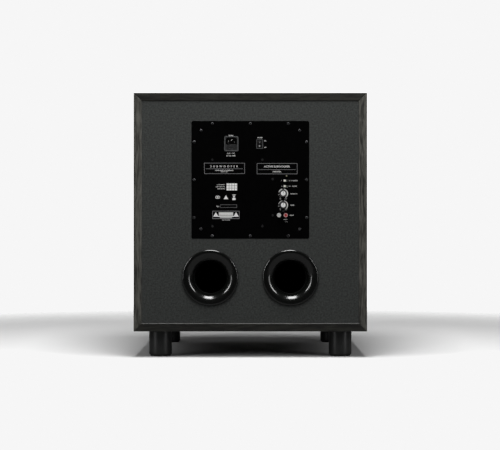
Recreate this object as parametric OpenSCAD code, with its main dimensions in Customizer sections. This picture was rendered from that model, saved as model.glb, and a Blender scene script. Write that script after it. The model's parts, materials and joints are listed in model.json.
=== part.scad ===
// Powered subwoofer for a home audio system: a wrapped board cabinet on four feet, a long-throw
// woofer behind a cloth grille, two flared bass ports and a plate amplifier in the back.
// Frame: +Z up, the front (grille) faces -Y, the back (amplifier) faces +Y. The origin is on the
// floor under the middle of the whole object. All sizes are millimetres.

/* [Cabinet] */
// Outer width of the cabinet
cab_w = 505; // [421:1:606]
// Outer height of the cabinet, without its feet
cab_h = 516; // [430:1:620]
// Depth of the four wall boards, front edge to rear edge
cab_d = 500; // [417:1:600]
// Thickness of the wall boards
wall_t = 18; // [15:1:22]
// Thickness of the front baffle
front_t = 25; // [20:1:32]
// Thickness of the rear baffle
rear_t = 18; // [15:1:24]
// How far the rear baffle sits in from the rear edges of the walls
rear_inset = 1.5; // [1:0.5:4]
// Width of the chamfer on the walls' inner rear edges
edge_relief = 1.5; // [0.5:0.5:2.5]
// Thickness of the window brace
brace_t = 18; // [15:1:22]
// Width and depth of the glue battens
batten = 20; // [15:1:25]
// Thickness of the damping pads
pad_t = 25; // [15:1:30]

/* [Feet] */
// Diameter of a foot
foot_d = 50; // [36:1:60]
// Height of a foot with its pad
foot_h = 57; // [40:1:70]
// Distance from the cabinet's sides to the middle of a foot
foot_inset = 55; // [48:1:80]
// Distance from the cabinet's front and back to the middle of a foot
foot_inset_y = 57; // [48:1:80]
// Thickness of the rubber pad under a foot
foot_pad_t = 3; // [2:0.5:5]
// Diameter of the bolt that holds a foot
foot_bolt_d = 8; // [6:1:10]

/* [Ports] */
// Inside diameter of a port tube
port_bore = 70; // [60:1:91]
// Wall thickness of a port tube
port_wall = 2.5; // [2:0.5:4]
// Length of a port tube
port_length = 240; // [180:5:270]
// Diameter of the rim around a port
port_rim_d = 122; // [112:1:130]
// Depth of a port's flare
flare_depth = 16; // [14:1:34]
// Distance between the middles of the two ports
port_spacing = 174; // [160:1:190]

/* [Woofer] */
// Outside diameter of the woofer's frame
woofer_d = 382; // [318:1:384]
// Depth of the rebate that the woofer's frame sits in
woofer_rebate = 9; // [8:0.5:12]
// Width of the half-round roll of the surround
roll_w = 25; // [20:1:28]
// Outside diameter of the magnets
magnet_d = 180; // [160:1:190]
// Thickness of one magnet
magnet_t = 20; // [15:1:24]
// Outside diameter of the voice coil's former
coil_d = 66; // [60:1:70]
// How far the cone moves each way
stroke = 12; // [8:1:13]

/* [Grille] */
// Thickness of the grille's frame
grille_t = 22; // [22:1:28]
// Width of the grille frame's bars
grille_bar = 32; // [30:1:40]
// How far the grille stops short of the cabinet's edges
grille_inset = 2; // [1:0.5:4]
// Diameter of the grille's pegs
peg_d = 8; // [6:0.5:9]

/* [Amplifier] */
// Width and height of the amplifier's panel
amp_size = 254; // [254:1:305]
// Thickness of the amplifier's panel
amp_t = 3; // [2:0.5:4]
// Depth of the cover behind the amplifier's panel
amp_cover_d = 96; // [88:1:110]
// Height of the spacers between the panel and the boards
spacer_h = 10; // [9:0.5:14]

/* [Controls] */
// Outside diameter of a knob
knob_d = 15.5; // [13:0.5:17]
// Height of a knob's face above the panel
knob_h = 13.5; // [12:0.5:16]
// Outside diameter of a phono socket's shell
phono_d = 8.3; // [8:0.1:8.6]
// Travel of a slide switch
slide_travel = 3.5; // [3:0.1:4]
// Travel of the fuse drawer
drawer_travel = 22; // [18:1:24]
// Turn of the power rocker from off to on
rocker_turn = 18; // [14:1:20]

/* [Hidden] */
$fn = 72;

// Clearances
fit = 0.05;     // running fit of a shaft, and of a screw in its pilot hole
slip = 0.3;     // sliding fit of a part that moves by hand
gap = 1;        // gap around a panel or flange in its rebate
eps = 0.01;     // overshoot of a cut past a face
rebate_step = 16; // width of the ledge that a recessed panel is screwed to

// Depths along Y
grille_gap = 0.5;
cloth_t = 0.8;
panel_proud = 0.5;
gasket_t = 1.5;
knob_skirt_gap = 0.6;
total_d = cloth_t + grille_t + grille_gap + cab_d - rear_inset + panel_proud + knob_h;
y_front = -total_d / 2 + cloth_t + grille_t + grille_gap;
y_back = y_front + cab_d;
y_rear = y_back - rear_inset;

// Heights along Z
z_floor = foot_h;
z_top = foot_h + cab_h;
z_mid = (z_floor + z_top) / 2;
inner_w = cab_w - 2 * wall_t;
inner_h = cab_h - 2 * wall_t;
spare_h = inner_h - amp_size - port_rim_d;
port_share = 0.355;  // share of the spare height under the ports
amp_share = 0.415;  // share of the spare height over the amplifier
z_port = z_floor + wall_t + spare_h * port_share + port_rim_d / 2;
z_amp = z_top - wall_t - spare_h * amp_share - amp_size / 2;

// Port flare
rim_r = port_rim_d / 2;
bore_r = port_bore / 2;
tube_r = bore_r + port_wall;
rim_h = 4;
rim_land = 5;
flare_body_r = rim_r - 9;
socket_l = 18;
port_y0 = y_rear - flare_depth;
port_y1 = port_y0 - port_length;

// Woofer, measured along its own axis: 0 at the baffle's face, positive to the front
woofer_r = woofer_d / 2;
flange_t = 5;
flange_z = -woofer_rebate;
flange_top = flange_z + flange_t;
woofer_cut_r = woofer_r - 13;
surround_r = woofer_r - 22;
cone_r = surround_r - roll_w;
coil_r = coil_d / 2;
screw_circle_r = woofer_r - 6;
shelf_z = flange_z - 79;
seat_z = shelf_z - 18;
seat_r = 78;
top_plate_t = 8;
yoke_t = 10;
magnet_z = seat_z - 3 - top_plate_t;
yoke_z = magnet_z - 2 * magnet_t;
woofer_depth = -(yoke_z - yoke_t);
neck_z = shelf_z + 8;
cone_t = 1.2;
cap_r = 60;
former_t = 0.4;
winding_t = 1.3;
winding_h = 28;
coil_gap = 0.7;
woofer_screws_n = 8;

// Grille
frame_w = cab_w - 2 * grille_inset;
frame_h = cab_h - 2 * grille_inset;
peg_l = 12;
socket_wall = 2.4;
peg_x = inner_w / 2 - 8.5;
peg_z = inner_h / 2 - 9;

// Amplifier, measured on its panel: u to the right and v up as seen from behind, from its middle
amp_r = 3;
cover_wall = 1.2;
cover_w = amp_size - 2 * rebate_step;
edge_screw = amp_size / 2 - 5.5;
edge_pitch = 82;
corner_screw = cover_w / 2 - 4.5;
board_u = -28;
board_v = -29;
board_hole_u = 54;
board_hole_v = 72;
board_w = 122;
board_h = 158;
jack_u = 69.2;
phono_pitch = 14.5;
phono_v = -76.4;
level_v = -54.8;
crossover_v = -29.6;
mode_v = -13.9;
phase_v = -1.8;
switch_u = 76.3;
knob_u = 70.9;
led_u = 78.5;
led_v = 8.2;
control_u = 68;
control_w = 50;
control_top = 12;
control_bottom = -94;
inlet_u = -41;
inlet_v = 78;
rocker_u = 20.2;
rocker_v = 77.4;
control_screws = [[48.5, 1.1], [48.5, -77.4], [70.7, -67.4]];
panel_face = panel_proud;
panel_back = panel_face - amp_t;
board_face = panel_back - spacer_h;
board_t = 1.6;
part_face = board_face - board_t;
screw_r = 1.7;
board_screw_r = 1.5;

// ---------------------------------------------------------------- placing and shared shapes

// The front baffle's face: x to the right as seen from the front, z up, the third axis outwards
module on_front(x, z) {
  translate([x, y_front, z]) rotate([90, 0, 0]) children();
}

// The rear baffle's face: u to the right as seen from behind, z up, the third axis outwards
module on_rear(u, z) {
  translate([-u, y_rear, z]) rotate([90, 0, 180]) children();
}

module on_amp(u, v) {
  on_rear(u, z_amp + v) children();
}

module on_woofer() {
  on_front(0, z_mid) children();
}

// A child at the four corners of a rectangle
module corners(half_x, half_y) {
  for (sx = [-1, 1], sy = [-1, 1]) translate([sx * half_x, sy * half_y]) children();
}

module ring_of(count, radius, first = 0) {
  for (i = [0:count - 1]) rotate(first + i * 360 / count) translate([radius, 0]) children();
}

// Flat outline with rounded corners
module round_rect(w, h, r) {
  square([w - 2 * r, h], center = true);
  square([w, h - 2 * r], center = true);
  corners(w / 2 - r, h / 2 - r) circle(r);
}

// A plate with rounded corners, from z0 up to z1
module round_plate(w, h, r, z0, z1) {
  translate([0, 0, z0]) linear_extrude(z1 - z0) round_rect(w, h, r);
}

module block(w, h, z0, z1) {
  translate([-w / 2, -h / 2, z0]) cube([w, h, z1 - z0]);
}

module disc(r, z0, z1) {
  translate([0, 0, z0]) cylinder(r = r, h = z1 - z0);
}

module tube(r_out, r_in, z0, z1) {
  difference() {
    disc(r_out, z0, z1);
    disc(r_in, z0 - eps, z1 + eps);
  }
}

// A screw that points down its own axis: head from 0 up, shank from 0 down
module screw(head_r, head_h, shank_r, shank_l, drive_r) {
  difference() {
    union() {
      disc(head_r, 0, head_h);
      disc(shank_r, -shank_l, eps);
    }
    translate([0, 0, head_h / 2]) cylinder(r = drive_r, h = head_h, $fn = 6);
  }
}

// Points of a half-round roll of radius r from the angle a0 to a1, middle at [x, z]
function arc_points(x, z, r, a0, a1, n) =
  [for (i = [0:n]) let (a = a0 + (a1 - a0) * i / n) [x + r * cos(a), z + r * sin(a)]];

// ---------------------------------------------------------------- cabinet

// One wall board with mitred ends, lying along X with its outer face down, chamfered inside at the rear
module wall_board(length) {
  difference() {
    translate([0, y_back, 0]) rotate([90, 0, 0]) linear_extrude(cab_d)
      polygon([
        [-length / 2, 0], [length / 2, 0], [length / 2 - wall_t, wall_t], [-length / 2 + wall_t, wall_t]
      ]);
    translate([-length / 2, y_back, wall_t]) rotate([-45, 0, 0])
      translate([0, -cab_d / 4, -edge_relief / sqrt(2)]) cube([length, cab_d / 2, wall_t]);
  }
}

module left_side_panel() {
  color("#2b2a27") translate([-cab_w / 2, 0, z_mid]) rotate([0, 90, 0]) wall_board(cab_h);
}

module right_side_panel() {
  color("#2b2a27") translate([cab_w / 2, 0, z_mid]) rotate([0, -90, 0]) wall_board(cab_h);
}

module top_panel() {
  color("#2b2a27") translate([0, 0, z_top]) rotate([0, 180, 0]) wall_board(cab_w);
}

// A child at each foot, seen from below the cabinet
module at_feet() {
  for (sx = [-1, 1], y = [y_front + foot_inset_y, y_back - foot_inset_y])
    translate([sx * (cab_w / 2 - foot_inset), y, 0]) children();
}

barrel_r = foot_bolt_d / 2 + 1.2;

module bottom_panel() {
  color("#2b2a27") difference() {
    translate([0, 0, z_floor]) wall_board(cab_w);
    at_feet() disc(barrel_r, z_floor - eps, z_floor + wall_t + eps);
  }
}

module front_baffle() {
  color("#1d1d1d") difference() {
    on_front(0, z_mid) block(inner_w, inner_h, -front_t, 0);
    on_woofer() {
      disc(woofer_cut_r, -front_t - eps, eps);
      disc(woofer_r + gap / 2, -woofer_rebate, eps);
      ring_of(woofer_screws_n, screw_circle_r, 22.5) disc(2.4 + fit, -front_t - eps, 0);
    }
    on_front(0, z_mid) corners(peg_x, peg_z) disc(peg_d / 2 + socket_wall, -peg_l - 3, eps);
  }
}

module rear_baffle() {
  color("#333536") difference() {
    on_rear(0, z_mid) block(inner_w, inner_h, -rear_t, 0);
    on_amp(0, 0) {
      round_plate(amp_size + gap, amp_size + gap, amp_r + gap / 2, panel_back - gasket_t, eps);
      block(cover_w + 2 * gap, cover_w + 2 * gap, -rear_t - eps, eps);
      edge_screws() disc(screw_r + fit, -rear_t - eps, eps);
    }
    for (side = [-1, 1]) on_rear(side * port_spacing / 2, z_port)
      disc(flare_body_r + fit, -rear_t - eps, eps);
  }
}

brace_y = (y_front + woofer_depth + y_rear - amp_cover_d) / 2 + brace_t / 2;
brace_band = z_port + rim_r + 4 - z_floor - wall_t;
brace_bar = 40;
window_w = (inner_w - 3 * brace_bar) / 2;
window_h = inner_h - brace_band - brace_bar;

// Frame across the middle of the cabinet: two windows over a band that holds the port tubes
module window_brace() {
  color("#8a7a62") translate([0, brace_y, 0]) rotate([90, 0, 0]) difference() {
    translate([0, z_mid, 0]) block(inner_w, inner_h, 0, brace_t);
    for (side = [-1, 1]) {
      translate([side * (window_w + brace_bar) / 2, z_top - wall_t - brace_bar - window_h / 2, 0])
        round_plate(window_w, window_h, 15, -eps, brace_t + eps);
      translate([side * port_spacing / 2, z_port, 0]) disc(tube_r + fit, -eps, brace_t + eps);
    }
  }
}

module batten_set(y) {
  for (side = [-1, 1]) {
    translate([-inner_w / 2, y, z_mid + side * (inner_h / 2 - batten / 2) - batten / 2])
      cube([inner_w, batten, batten]);
    translate([side * (inner_w / 2 - batten / 2) - batten / 2, y, z_mid - inner_h / 2 + batten])
      cube([batten, batten, inner_h - 2 * batten]);
  }
}

// Strips glued round the back of each baffle, cut clear of the woofer and the ports
module glue_battens() {
  color("#9b8763") {
    difference() {
      batten_set(y_front + front_t);
      on_woofer() disc(woofer_r, -front_t - batten - eps, 0);
    }
    difference() {
      batten_set(y_rear - rear_t - batten);
      for (side = [-1, 1]) on_rear(side * port_spacing / 2, z_port)
        disc(flare_body_r + gap, -rear_t - batten - eps, 0);
    }
  }
}

pad_edge = 6;
pad_front_y = y_front + front_t + batten + pad_edge;
pad_brace_y = brace_y - brace_t - pad_edge;
pad_behind_y = brace_y + pad_edge;
pad_rear_y = y_rear - rear_t - batten - pad_edge;
side_pad_h = inner_h - 2 * pad_t - 30;

// Soft lining against the side walls and under the top, in front of the brace and behind it
module damping_pads() {
  color("#c9c7bf") for (span = [[pad_front_y, pad_brace_y], [pad_behind_y, pad_rear_y]]) {
    for (side = [-1, 1])
      translate([side * (inner_w / 2 - pad_t / 2) - pad_t / 2, span[0], z_mid - side_pad_h / 2])
        cube([pad_t, span[1] - span[0], side_pad_h]);
    translate([-inner_w / 2 + 10, span[0], z_top - wall_t - pad_t])
      cube([inner_w - 20, span[1] - span[0], pad_t]);
  }
}

// ---------------------------------------------------------------- feet

foot_chamfer = 1.5;
bolt_head_r = foot_bolt_d * 0.8;
bolt_head_h = 5;
bolt_well = 9;
foot_bolt_l = foot_h + wall_t - foot_pad_t - bolt_well - 1;

module foot_posts() {
  color("#141516") at_feet() difference() {
    union() {
      disc(foot_d / 2, foot_pad_t + foot_chamfer, foot_h);
      translate([0, 0, foot_pad_t])
        cylinder(r1 = foot_d / 2 - foot_chamfer, r2 = foot_d / 2, h = foot_chamfer);
    }
    disc(foot_bolt_d / 2 + 0.5, foot_pad_t - eps, foot_h + eps);
    disc(bolt_head_r + 0.5, foot_pad_t - eps, foot_pad_t + bolt_well);
  }
}

module foot_pads() {
  color("#0c0c0c") at_feet() disc(foot_d / 2 - foot_chamfer - 1, 0, foot_pad_t);
}

// A bolt up through each foot and the tee nut that it screws into
module foot_fixings() {
  color("#9a9c9e") at_feet() {
    translate([0, 0, foot_pad_t + bolt_well]) rotate([180, 0, 0])
      screw(bolt_head_r, bolt_head_h, foot_bolt_d / 2, foot_bolt_l, foot_bolt_d * 0.4);
    difference() {
      union() {
        disc(barrel_r - fit, z_floor + wall_t - 11, z_floor + wall_t);
        disc(foot_bolt_d * 1.4, z_floor + wall_t, z_floor + wall_t + 1.5);
      }
      disc(foot_bolt_d / 2 + fit, z_floor, z_floor + wall_t + 2);
    }
  }
}

// ---------------------------------------------------------------- ports

// Quarter of an ellipse from the tube's bore out to the rim's land
function flare_curve(n) = [for (i = [0:n]) let (a = 90 * i / n)
  [bore_r + (rim_r - rim_land - bore_r) * (1 - cos(a)), -flare_depth + (flare_depth + rim_h) * sin(a)]];

// The mouth of a port, pushed into the rear baffle, with a socket behind it for the tube
module port_flare(side) {
  color("#101111") on_rear(side * port_spacing / 2, z_port) rotate_extrude() polygon(concat(
    [[tube_r + fit, -flare_depth - socket_l], [tube_r + fit, -flare_depth], [bore_r, -flare_depth]],
    [for (p = flare_curve(10)) if (p[1] > -flare_depth) p],
    arc_points(rim_r - 3, 1, 3, 90, 0, 4),
    [[rim_r, 0], [flare_body_r, 0], [flare_body_r, -rear_t], [tube_r + 3, -max(rear_t, flare_depth - 2)],
     [tube_r + 3, -flare_depth - socket_l]]
  ));
}

module left_port_flare() {
  port_flare(1);
}

module right_port_flare() {
  port_flare(-1);
}

module port_tubes() {
  color("#1a1a1a") for (side = [-1, 1]) on_rear(side * port_spacing / 2, z_port)
    tube(tube_r, bore_r, -flare_depth - port_length, -flare_depth);
}

inner_flare_r = 12;

// A trumpet collar glued over the inner end of each tube
module inner_port_flares() {
  color("#101111") for (side = [-1, 1])
    on_rear(side * port_spacing / 2, z_port) translate([0, 0, -flare_depth - port_length])
      rotate_extrude() polygon(concat(
        [[tube_r + fit, 14], [tube_r + fit, 0]],
        arc_points(bore_r + inner_flare_r, 0, inner_flare_r, 180, 270, 6),
        arc_points(bore_r + inner_flare_r, 0, inner_flare_r - port_wall, 270, 225, 4),
        [[tube_r + 3, 14]]
      ));
}

// ---------------------------------------------------------------- woofer

basket_t = 3;
shelf_r = 92;
rim_z = flange_z - 16;
window_r0 = 100;
window_r1 = woofer_cut_r - 16;
basket_spokes = 8;

// Pressed steel frame: a flange, a rim, eight spokes down to the spider's shelf, and the magnet's seat
module woofer_basket() {
  color("#17181a") on_woofer() difference() {
    rotate_extrude() polygon([
      [surround_r - 2, flange_top], [woofer_r, flange_top], [woofer_r, flange_z],
      [woofer_cut_r - 1, flange_z], [woofer_cut_r - 1, rim_z], [shelf_r + 2, shelf_z - basket_t],
      [seat_r + basket_t, shelf_z - basket_t], [seat_r + basket_t, seat_z - basket_t],
      [coil_r + 8, seat_z - basket_t], [coil_r + 8, seat_z], [seat_r, seat_z], [seat_r, shelf_z],
      [shelf_r, shelf_z], [woofer_cut_r - 1 - basket_t, rim_z + basket_t],
      [woofer_cut_r - 1 - basket_t, flange_top - 2], [surround_r - 2, flange_top - 2]
    ]);
    ring_of(woofer_screws_n, screw_circle_r, 22.5) disc(2.8, flange_z - eps, flange_top + eps);
    for (i = [0:basket_spokes - 1]) rotate(i * 360 / basket_spokes - 15) basket_window();
  }
}

// Cuts the space between two spokes, 30 degrees wide, through the sloping wall only
module basket_window() {
  rotate_extrude(angle = 30) polygon([
    [window_r0, shelf_z - 20], [window_r1, shelf_z - 20], [window_r1, rim_z + 2], [window_r0, rim_z + 2]
  ]);
}

module woofer_gasket() {
  color("#0d0d0d") on_woofer() tube(screw_circle_r - 5.5, surround_r + 1, flange_top + 1, 0);
}

module woofer_top_plate() {
  color("#a9abac") on_woofer()
    tube(seat_r + 2, coil_r + winding_t + coil_gap, magnet_z, magnet_z + top_plate_t);
}

module woofer_magnets() {
  color("#3a3b3d") on_woofer() for (i = [0, 1])
    tube(magnet_d / 2, coil_r + 10, magnet_z - (i + 1) * magnet_t, magnet_z - i * magnet_t);
}

// Back plate and pole piece in one forging, with a vent down the middle
module woofer_yoke() {
  color("#a9abac") on_woofer() difference() {
    union() {
      disc(seat_r + 2, yoke_z - yoke_t, yoke_z);
      disc(coil_r - former_t - coil_gap, yoke_z - eps, magnet_z + top_plate_t);
    }
    disc(10, yoke_z - yoke_t - eps, magnet_z + top_plate_t + eps);
  }
}

cover_skin = 2;

// Rubber boot around the magnets
module magnet_cover() {
  color("#121212") on_woofer() tube(
    magnet_d / 2 + cover_skin, magnet_d / 2 + fit, magnet_z - 2 * magnet_t, magnet_z);
}

spider_waves = 5;
spider_t = 0.7;
spider_r0 = coil_r + fit;
spider_r1 = 90;

// Height of the spider's corrugation at the share s of its width
function wave(s) = shelf_z + fit + 2 + 2 * sin(360 * spider_waves * s - 90);

function spider_line(offset, n) = [for (i = [0:n]) let (s = i / n)
  [spider_r0 + (spider_r1 - 8 - spider_r0) * s, wave(s) + offset]];

module woofer_spider() {
  color("#c79a4a") on_woofer() rotate_extrude() polygon(concat(
    spider_line(0, 40), [[spider_r1, shelf_z + fit], [spider_r1, shelf_z + fit + spider_t]],
    [for (i = [40:-1:0]) spider_line(spider_t, 40)[i]]
  ));
}

roll_r = roll_w / 2;
roll_x = cone_r + roll_r;
roll_t = 1;

// Half-round rubber roll between the cone's edge and the frame
module woofer_surround() {
  color("#151515") on_woofer() rotate_extrude() polygon(concat(
    [[cone_r - 6, flange_top], [cone_r, flange_top]],
    arc_points(roll_x, flange_top + 1, roll_r - roll_t, 180, 0, 16),
    [[surround_r, flange_top], [screw_circle_r - 6, flange_top], [screw_circle_r - 6, flange_top + 1],
     [surround_r, flange_top + 1]],
    arc_points(roll_x, flange_top + 1, roll_r, 0, 180, 16),
    [[cone_r, flange_top + 1], [cone_r - 6, flange_top + 1]]
  ));
}

cone_z = flange_top - fit;

cone_lip = 7;
cone_steps = 14;

// Height of the cone's face at radius r: a gentle curve, steeper near the neck
function cone_face(r) =
  neck_z + (cone_z - neck_z) * pow((r - coil_r) / (cone_r - cone_lip - coil_r), 0.82);

// How steeply the face rises there
function cone_slope(r) = cone_face(r + 0.5) - cone_face(r - 0.5);

function cone_radius(i) = coil_r + fit + (cone_r - cone_lip - coil_r - fit) * i / cone_steps;

// Pressed paper cone with a flat lip that the surround is glued to
module woofer_cone() {
  color("#1c1d20") on_woofer() rotate_extrude() polygon(concat(
    [for (i = [0:cone_steps]) [cone_radius(i), cone_face(cone_radius(i))]],
    [[cone_r, cone_z], [cone_r, cone_z - cone_t]],
    [for (i = [cone_steps:-1:0]) [cone_radius(i), cone_face(cone_radius(i)) - 1.25 * cone_t]]
  ));
}

cap_seat = cone_face(cap_r) + 0.5;
cap_rise = 20;
cap_sphere = (cap_r * cap_r + cap_rise * cap_rise) / (2 * cap_rise);
cap_angle = asin(cap_r / cap_sphere);

module dust_cap() {
  color("#202124") on_woofer() translate([0, 0, cap_seat + cap_rise - cap_sphere])
    rotate_extrude() polygon(concat(
      arc_points(0, 0, cap_sphere, 90, 90 - cap_angle, 12),
      arc_points(0, 0, cap_sphere - 1, 90 - cap_angle, 90, 12)
    ));
}

former_bottom = magnet_z + top_plate_t / 2 - winding_h / 2 - 2;

module voice_coil_former() {
  color("#b98a3a") on_woofer() tube(coil_r, coil_r - former_t, former_bottom, neck_z + 6);
}

module voice_coil_winding() {
  color("#b5622c") on_woofer()
    tube(coil_r + winding_t, coil_r + fit, former_bottom + 2, former_bottom + 2 + winding_h);
}

// The back of the basket's sloping wall, at radius r
wall_slope = (rim_z - shelf_z + basket_t) / (woofer_cut_r - 3 - shelf_r);
function wall_back(r) = shelf_z - basket_t + (r - shelf_r - 2) * wall_slope;

terminal_r = 122;
terminal_turn = 10;

// Strip across the back of one spoke, with a push terminal at each end of it
module woofer_terminals() {
  color("#2a2a2a") on_woofer() {
    rotate(22.5 - 12.5) rotate_extrude(angle = 25) polygon([
      [terminal_r - 9, wall_back(terminal_r - 9)], [terminal_r + 9, wall_back(terminal_r + 9)],
      [terminal_r + 11, wall_back(terminal_r + 9) - 2.5], [terminal_r - 7, wall_back(terminal_r - 9) - 2.5]
    ]);
    for (side = [-1, 1]) rotate(22.5 + side * terminal_turn) translate([terminal_r + 2, 0, 0])
      block(9, 7, wall_back(terminal_r) - 13, wall_back(terminal_r) - 2);
  }
}

module woofer_screws() {
  color("#0f0f10") on_woofer() ring_of(woofer_screws_n, screw_circle_r, 22.5)
    translate([0, 0, flange_top]) screw(4.5, 3, 2.4, front_t + flange_top - 1, 2);
}

function unit(v) = v / norm(v);

// Directions along a path at its point i, and across it towards the side
function path_tangent(p, i) = unit(p[min(i + 1, len(p) - 1)] - p[max(i - 1, 0)]);
function side_axis(t, up) = unit(cross(t, up));

function sweep_ring(p, i, r, n, up) = let (t = path_tangent(p, i), s = side_axis(t, up), w = cross(s, t))
  [for (k = [0:n - 1]) p[i] + r * (cos(360 * k / n) * s + sin(360 * k / n) * w)];

// A point at t along the curve of four control points
function bezier(p, t) = pow(1 - t, 3) * p[0] + 3 * t * pow(1 - t, 2) * p[1]
  + 3 * t * t * (1 - t) * p[2] + t * t * t * p[3];

// Points along a chain of such curves, n to each, where every third control point is passed through
function smooth_path(p, n) = concat(
  [for (s = [0:3:len(p) - 4], i = [0:n - 1]) bezier([p[s], p[s + 1], p[s + 2], p[s + 3]], i / n)],
  [p[len(p) - 1]]);

// A round lead along a list of points, as one closed tube. The path never runs along the axis up
module sweep(points, r, up, n = 8) {
  rings = [for (i = [0:len(points) - 1]) each sweep_ring(points, i, r, n, up)];
  last = (len(points) - 1) * n;
  polyhedron(rings, concat(
    [[for (k = [0:n - 1]) k]],
    [for (i = [0:n:last - n], k = [0:n - 1]) [i + k, i + n + k, i + n + (k + 1) % n, i + (k + 1) % n]],
    [[for (k = [n - 1:-1:0]) last + k]]
  ));
}

lead_r = 1.1;

// A point on the woofer's axes at the given turn, radius and height
function polar(turn, r, z) = [r * cos(turn), r * sin(turn), z];

// Flexible leads from the back of the cone to the terminals, square to both surfaces at their ends
module tinsel_leads() {
  r0 = coil_r + 10;
  z0 = cone_face(r0) - 1.25 * cone_t - 2 * fit;
  z1 = wall_back(terminal_r) + 2 * fit;
  color("#c98b4b") on_woofer() rotate(22.5) for (side = [-1, 1]) {
    turn = side * terminal_turn;
    off_cone = polar(turn, cone_slope(r0), 0) - [0, 0, 1];
    off_wall = polar(turn, -wall_slope, 0) + [0, 0, 1];
    start = polar(turn, r0, z0);
    end = polar(turn, terminal_r, z1);
    sweep(smooth_path([
      start, start + off_cone, start + 2 * off_cone, start + 3 * off_cone,
      start + 9 * off_cone, end + 20 * off_wall, end + 3 * off_wall,
      end + 2 * off_wall, end + off_wall, end
    ], 7), lead_r, [-sin(turn), cos(turn), 0]);
  }
}

// ---------------------------------------------------------------- grille

// Board frame with one opening and four pegs that push into sockets in the front baffle
module grille_frame() {
  color("#161616") on_front(0, z_mid) {
    difference() {
      round_plate(frame_w, frame_h, 5, grille_gap, grille_gap + grille_t);
      round_plate(frame_w - 2 * grille_bar, frame_h - 2 * grille_bar, 12, 0, grille_gap + grille_t + eps);
    }
    corners(peg_x, peg_z) disc(peg_d / 2, -peg_l, grille_gap + eps);
  }
}

module grille_cloth() {
  color("#0f0f10") on_front(0, z_mid)
    round_plate(frame_w, frame_h, 5, grille_gap + grille_t, grille_gap + grille_t + cloth_t);
}

module grille_sockets() {
  color("#0b0b0b") on_front(0, z_mid) corners(peg_x, peg_z) difference() {
    disc(peg_d / 2 + socket_wall - fit, -peg_l - 3, 0);
    disc(peg_d / 2 + fit, -peg_l - 1, eps);
  }
}

// ---------------------------------------------------------------- amplifier: panel and structure

// The twelve screws round the panel's edge
module edge_screws() {
  for (turn = [0:90:270], i = [-1, 0, 1]) rotate(turn) translate([i * edge_pitch, edge_screw]) children();
}

inlet_hole_w = 27.5;
inlet_hole_h = 30.5;
rocker_hole_w = 13.4;
rocker_hole_h = 19.4;
bush_r = 3.5;
slot_w = 9.5;
slot_h = 4.6;
phono_collar_r = 4.6;
lamp_r = 1.5;

module board_holes() {
  translate([board_u, board_v]) corners(board_hole_u, board_hole_v) children();
  for (p = control_screws) translate(p) children();
}

// Cuts a rectangular opening through the panel
module panel_slot(w, h) {
  block(w, h, panel_back - eps, panel_face + eps);
}

module amp_panel() {
  color("#050506") on_amp(0, 0) difference() {
    round_plate(amp_size, amp_size, amp_r, panel_back, panel_face);
    edge_screws() disc(screw_r + fit, panel_back - eps, panel_face + eps);
    corners(corner_screw, corner_screw) disc(screw_r + fit, panel_back - eps, panel_face + eps);
    board_holes() disc(board_screw_r + fit, panel_back - eps, panel_face + eps);
    translate([inlet_u, inlet_v]) panel_slot(inlet_hole_w, inlet_hole_h);
    translate([rocker_u, rocker_v]) panel_slot(rocker_hole_w, rocker_hole_h);
    for (v = [crossover_v, level_v]) translate([knob_u, v])
      disc(bush_r + 0.1, panel_back - eps, panel_face + eps);
    for (v = [phase_v, mode_v]) translate([switch_u, v]) panel_slot(slot_w, slot_h);
    for (side = [-1, 1]) translate([jack_u + side * phono_pitch / 2, phono_v])
      disc(phono_collar_r + fit, panel_back - eps, panel_face + eps);
    translate([led_u, led_v]) disc(lamp_r + fit, panel_back - eps, panel_face + eps);
  }
}

module amp_gasket() {
  color("#1b1b1b") on_amp(0, 0) difference() {
    round_plate(amp_size, amp_size, amp_r, panel_back - gasket_t, panel_back);
    block(cover_w + 2 * gap, cover_w + 2 * gap, panel_back - 2 * gasket_t, panel_back + eps);
    edge_screws() disc(screw_r + fit, panel_back - 2 * gasket_t, panel_back + eps);
  }
}

module amp_panel_screws() {
  color("#1c1c1e") on_amp(0, 0) {
    edge_screws() translate([0, 0, panel_face]) screw(3.1, 1.8, screw_r, 15, 1.4);
    corners(corner_screw, corner_screw) translate([0, 0, panel_face]) screw(3.1, 1.8, screw_r, 8, 1.4);
  }
}

cover_back = panel_back - amp_cover_d;
lead_hole = [-60, -92];
lead_hole_r = 6;

// Folded steel box with a turned-in tab at each corner for its screw
module amp_cover() {
  color("#7c7e80") on_amp(0, 0) difference() {
    union() {
      difference() {
        block(cover_w, cover_w, cover_back, panel_back);
        block(cover_w - 2 * cover_wall, cover_w - 2 * cover_wall, cover_back + cover_wall, panel_back + eps);
      }
      corners(cover_w / 2 - 5, cover_w / 2 - 5) block(10, 10, panel_back - 9, panel_back);
    }
    corners(corner_screw, corner_screw) disc(screw_r + fit, panel_back - 9 - eps, panel_back + eps);
    translate(lead_hole) disc(lead_hole_r, cover_back - eps, cover_back + 2 * cover_wall);
  }
}

// ---------------------------------------------------------------- amplifier: boards and what they carry

module main_board() {
  color("#1f5a34") on_amp(board_u, board_v) difference() {
    block(board_w, board_h, board_face - board_t, board_face);
    corners(board_hole_u, board_hole_v) disc(board_screw_r + fit, part_face - eps, board_face + eps);
  }
}

module control_board() {
  color("#1f5a34") on_amp(0, 0) difference() {
    translate([control_u - control_w / 2, control_bottom, board_face - board_t])
      cube([control_w, control_top - control_bottom, board_t]);
    for (p = control_screws) translate(p) disc(board_screw_r + fit, part_face - eps, board_face + eps);
  }
}

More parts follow.
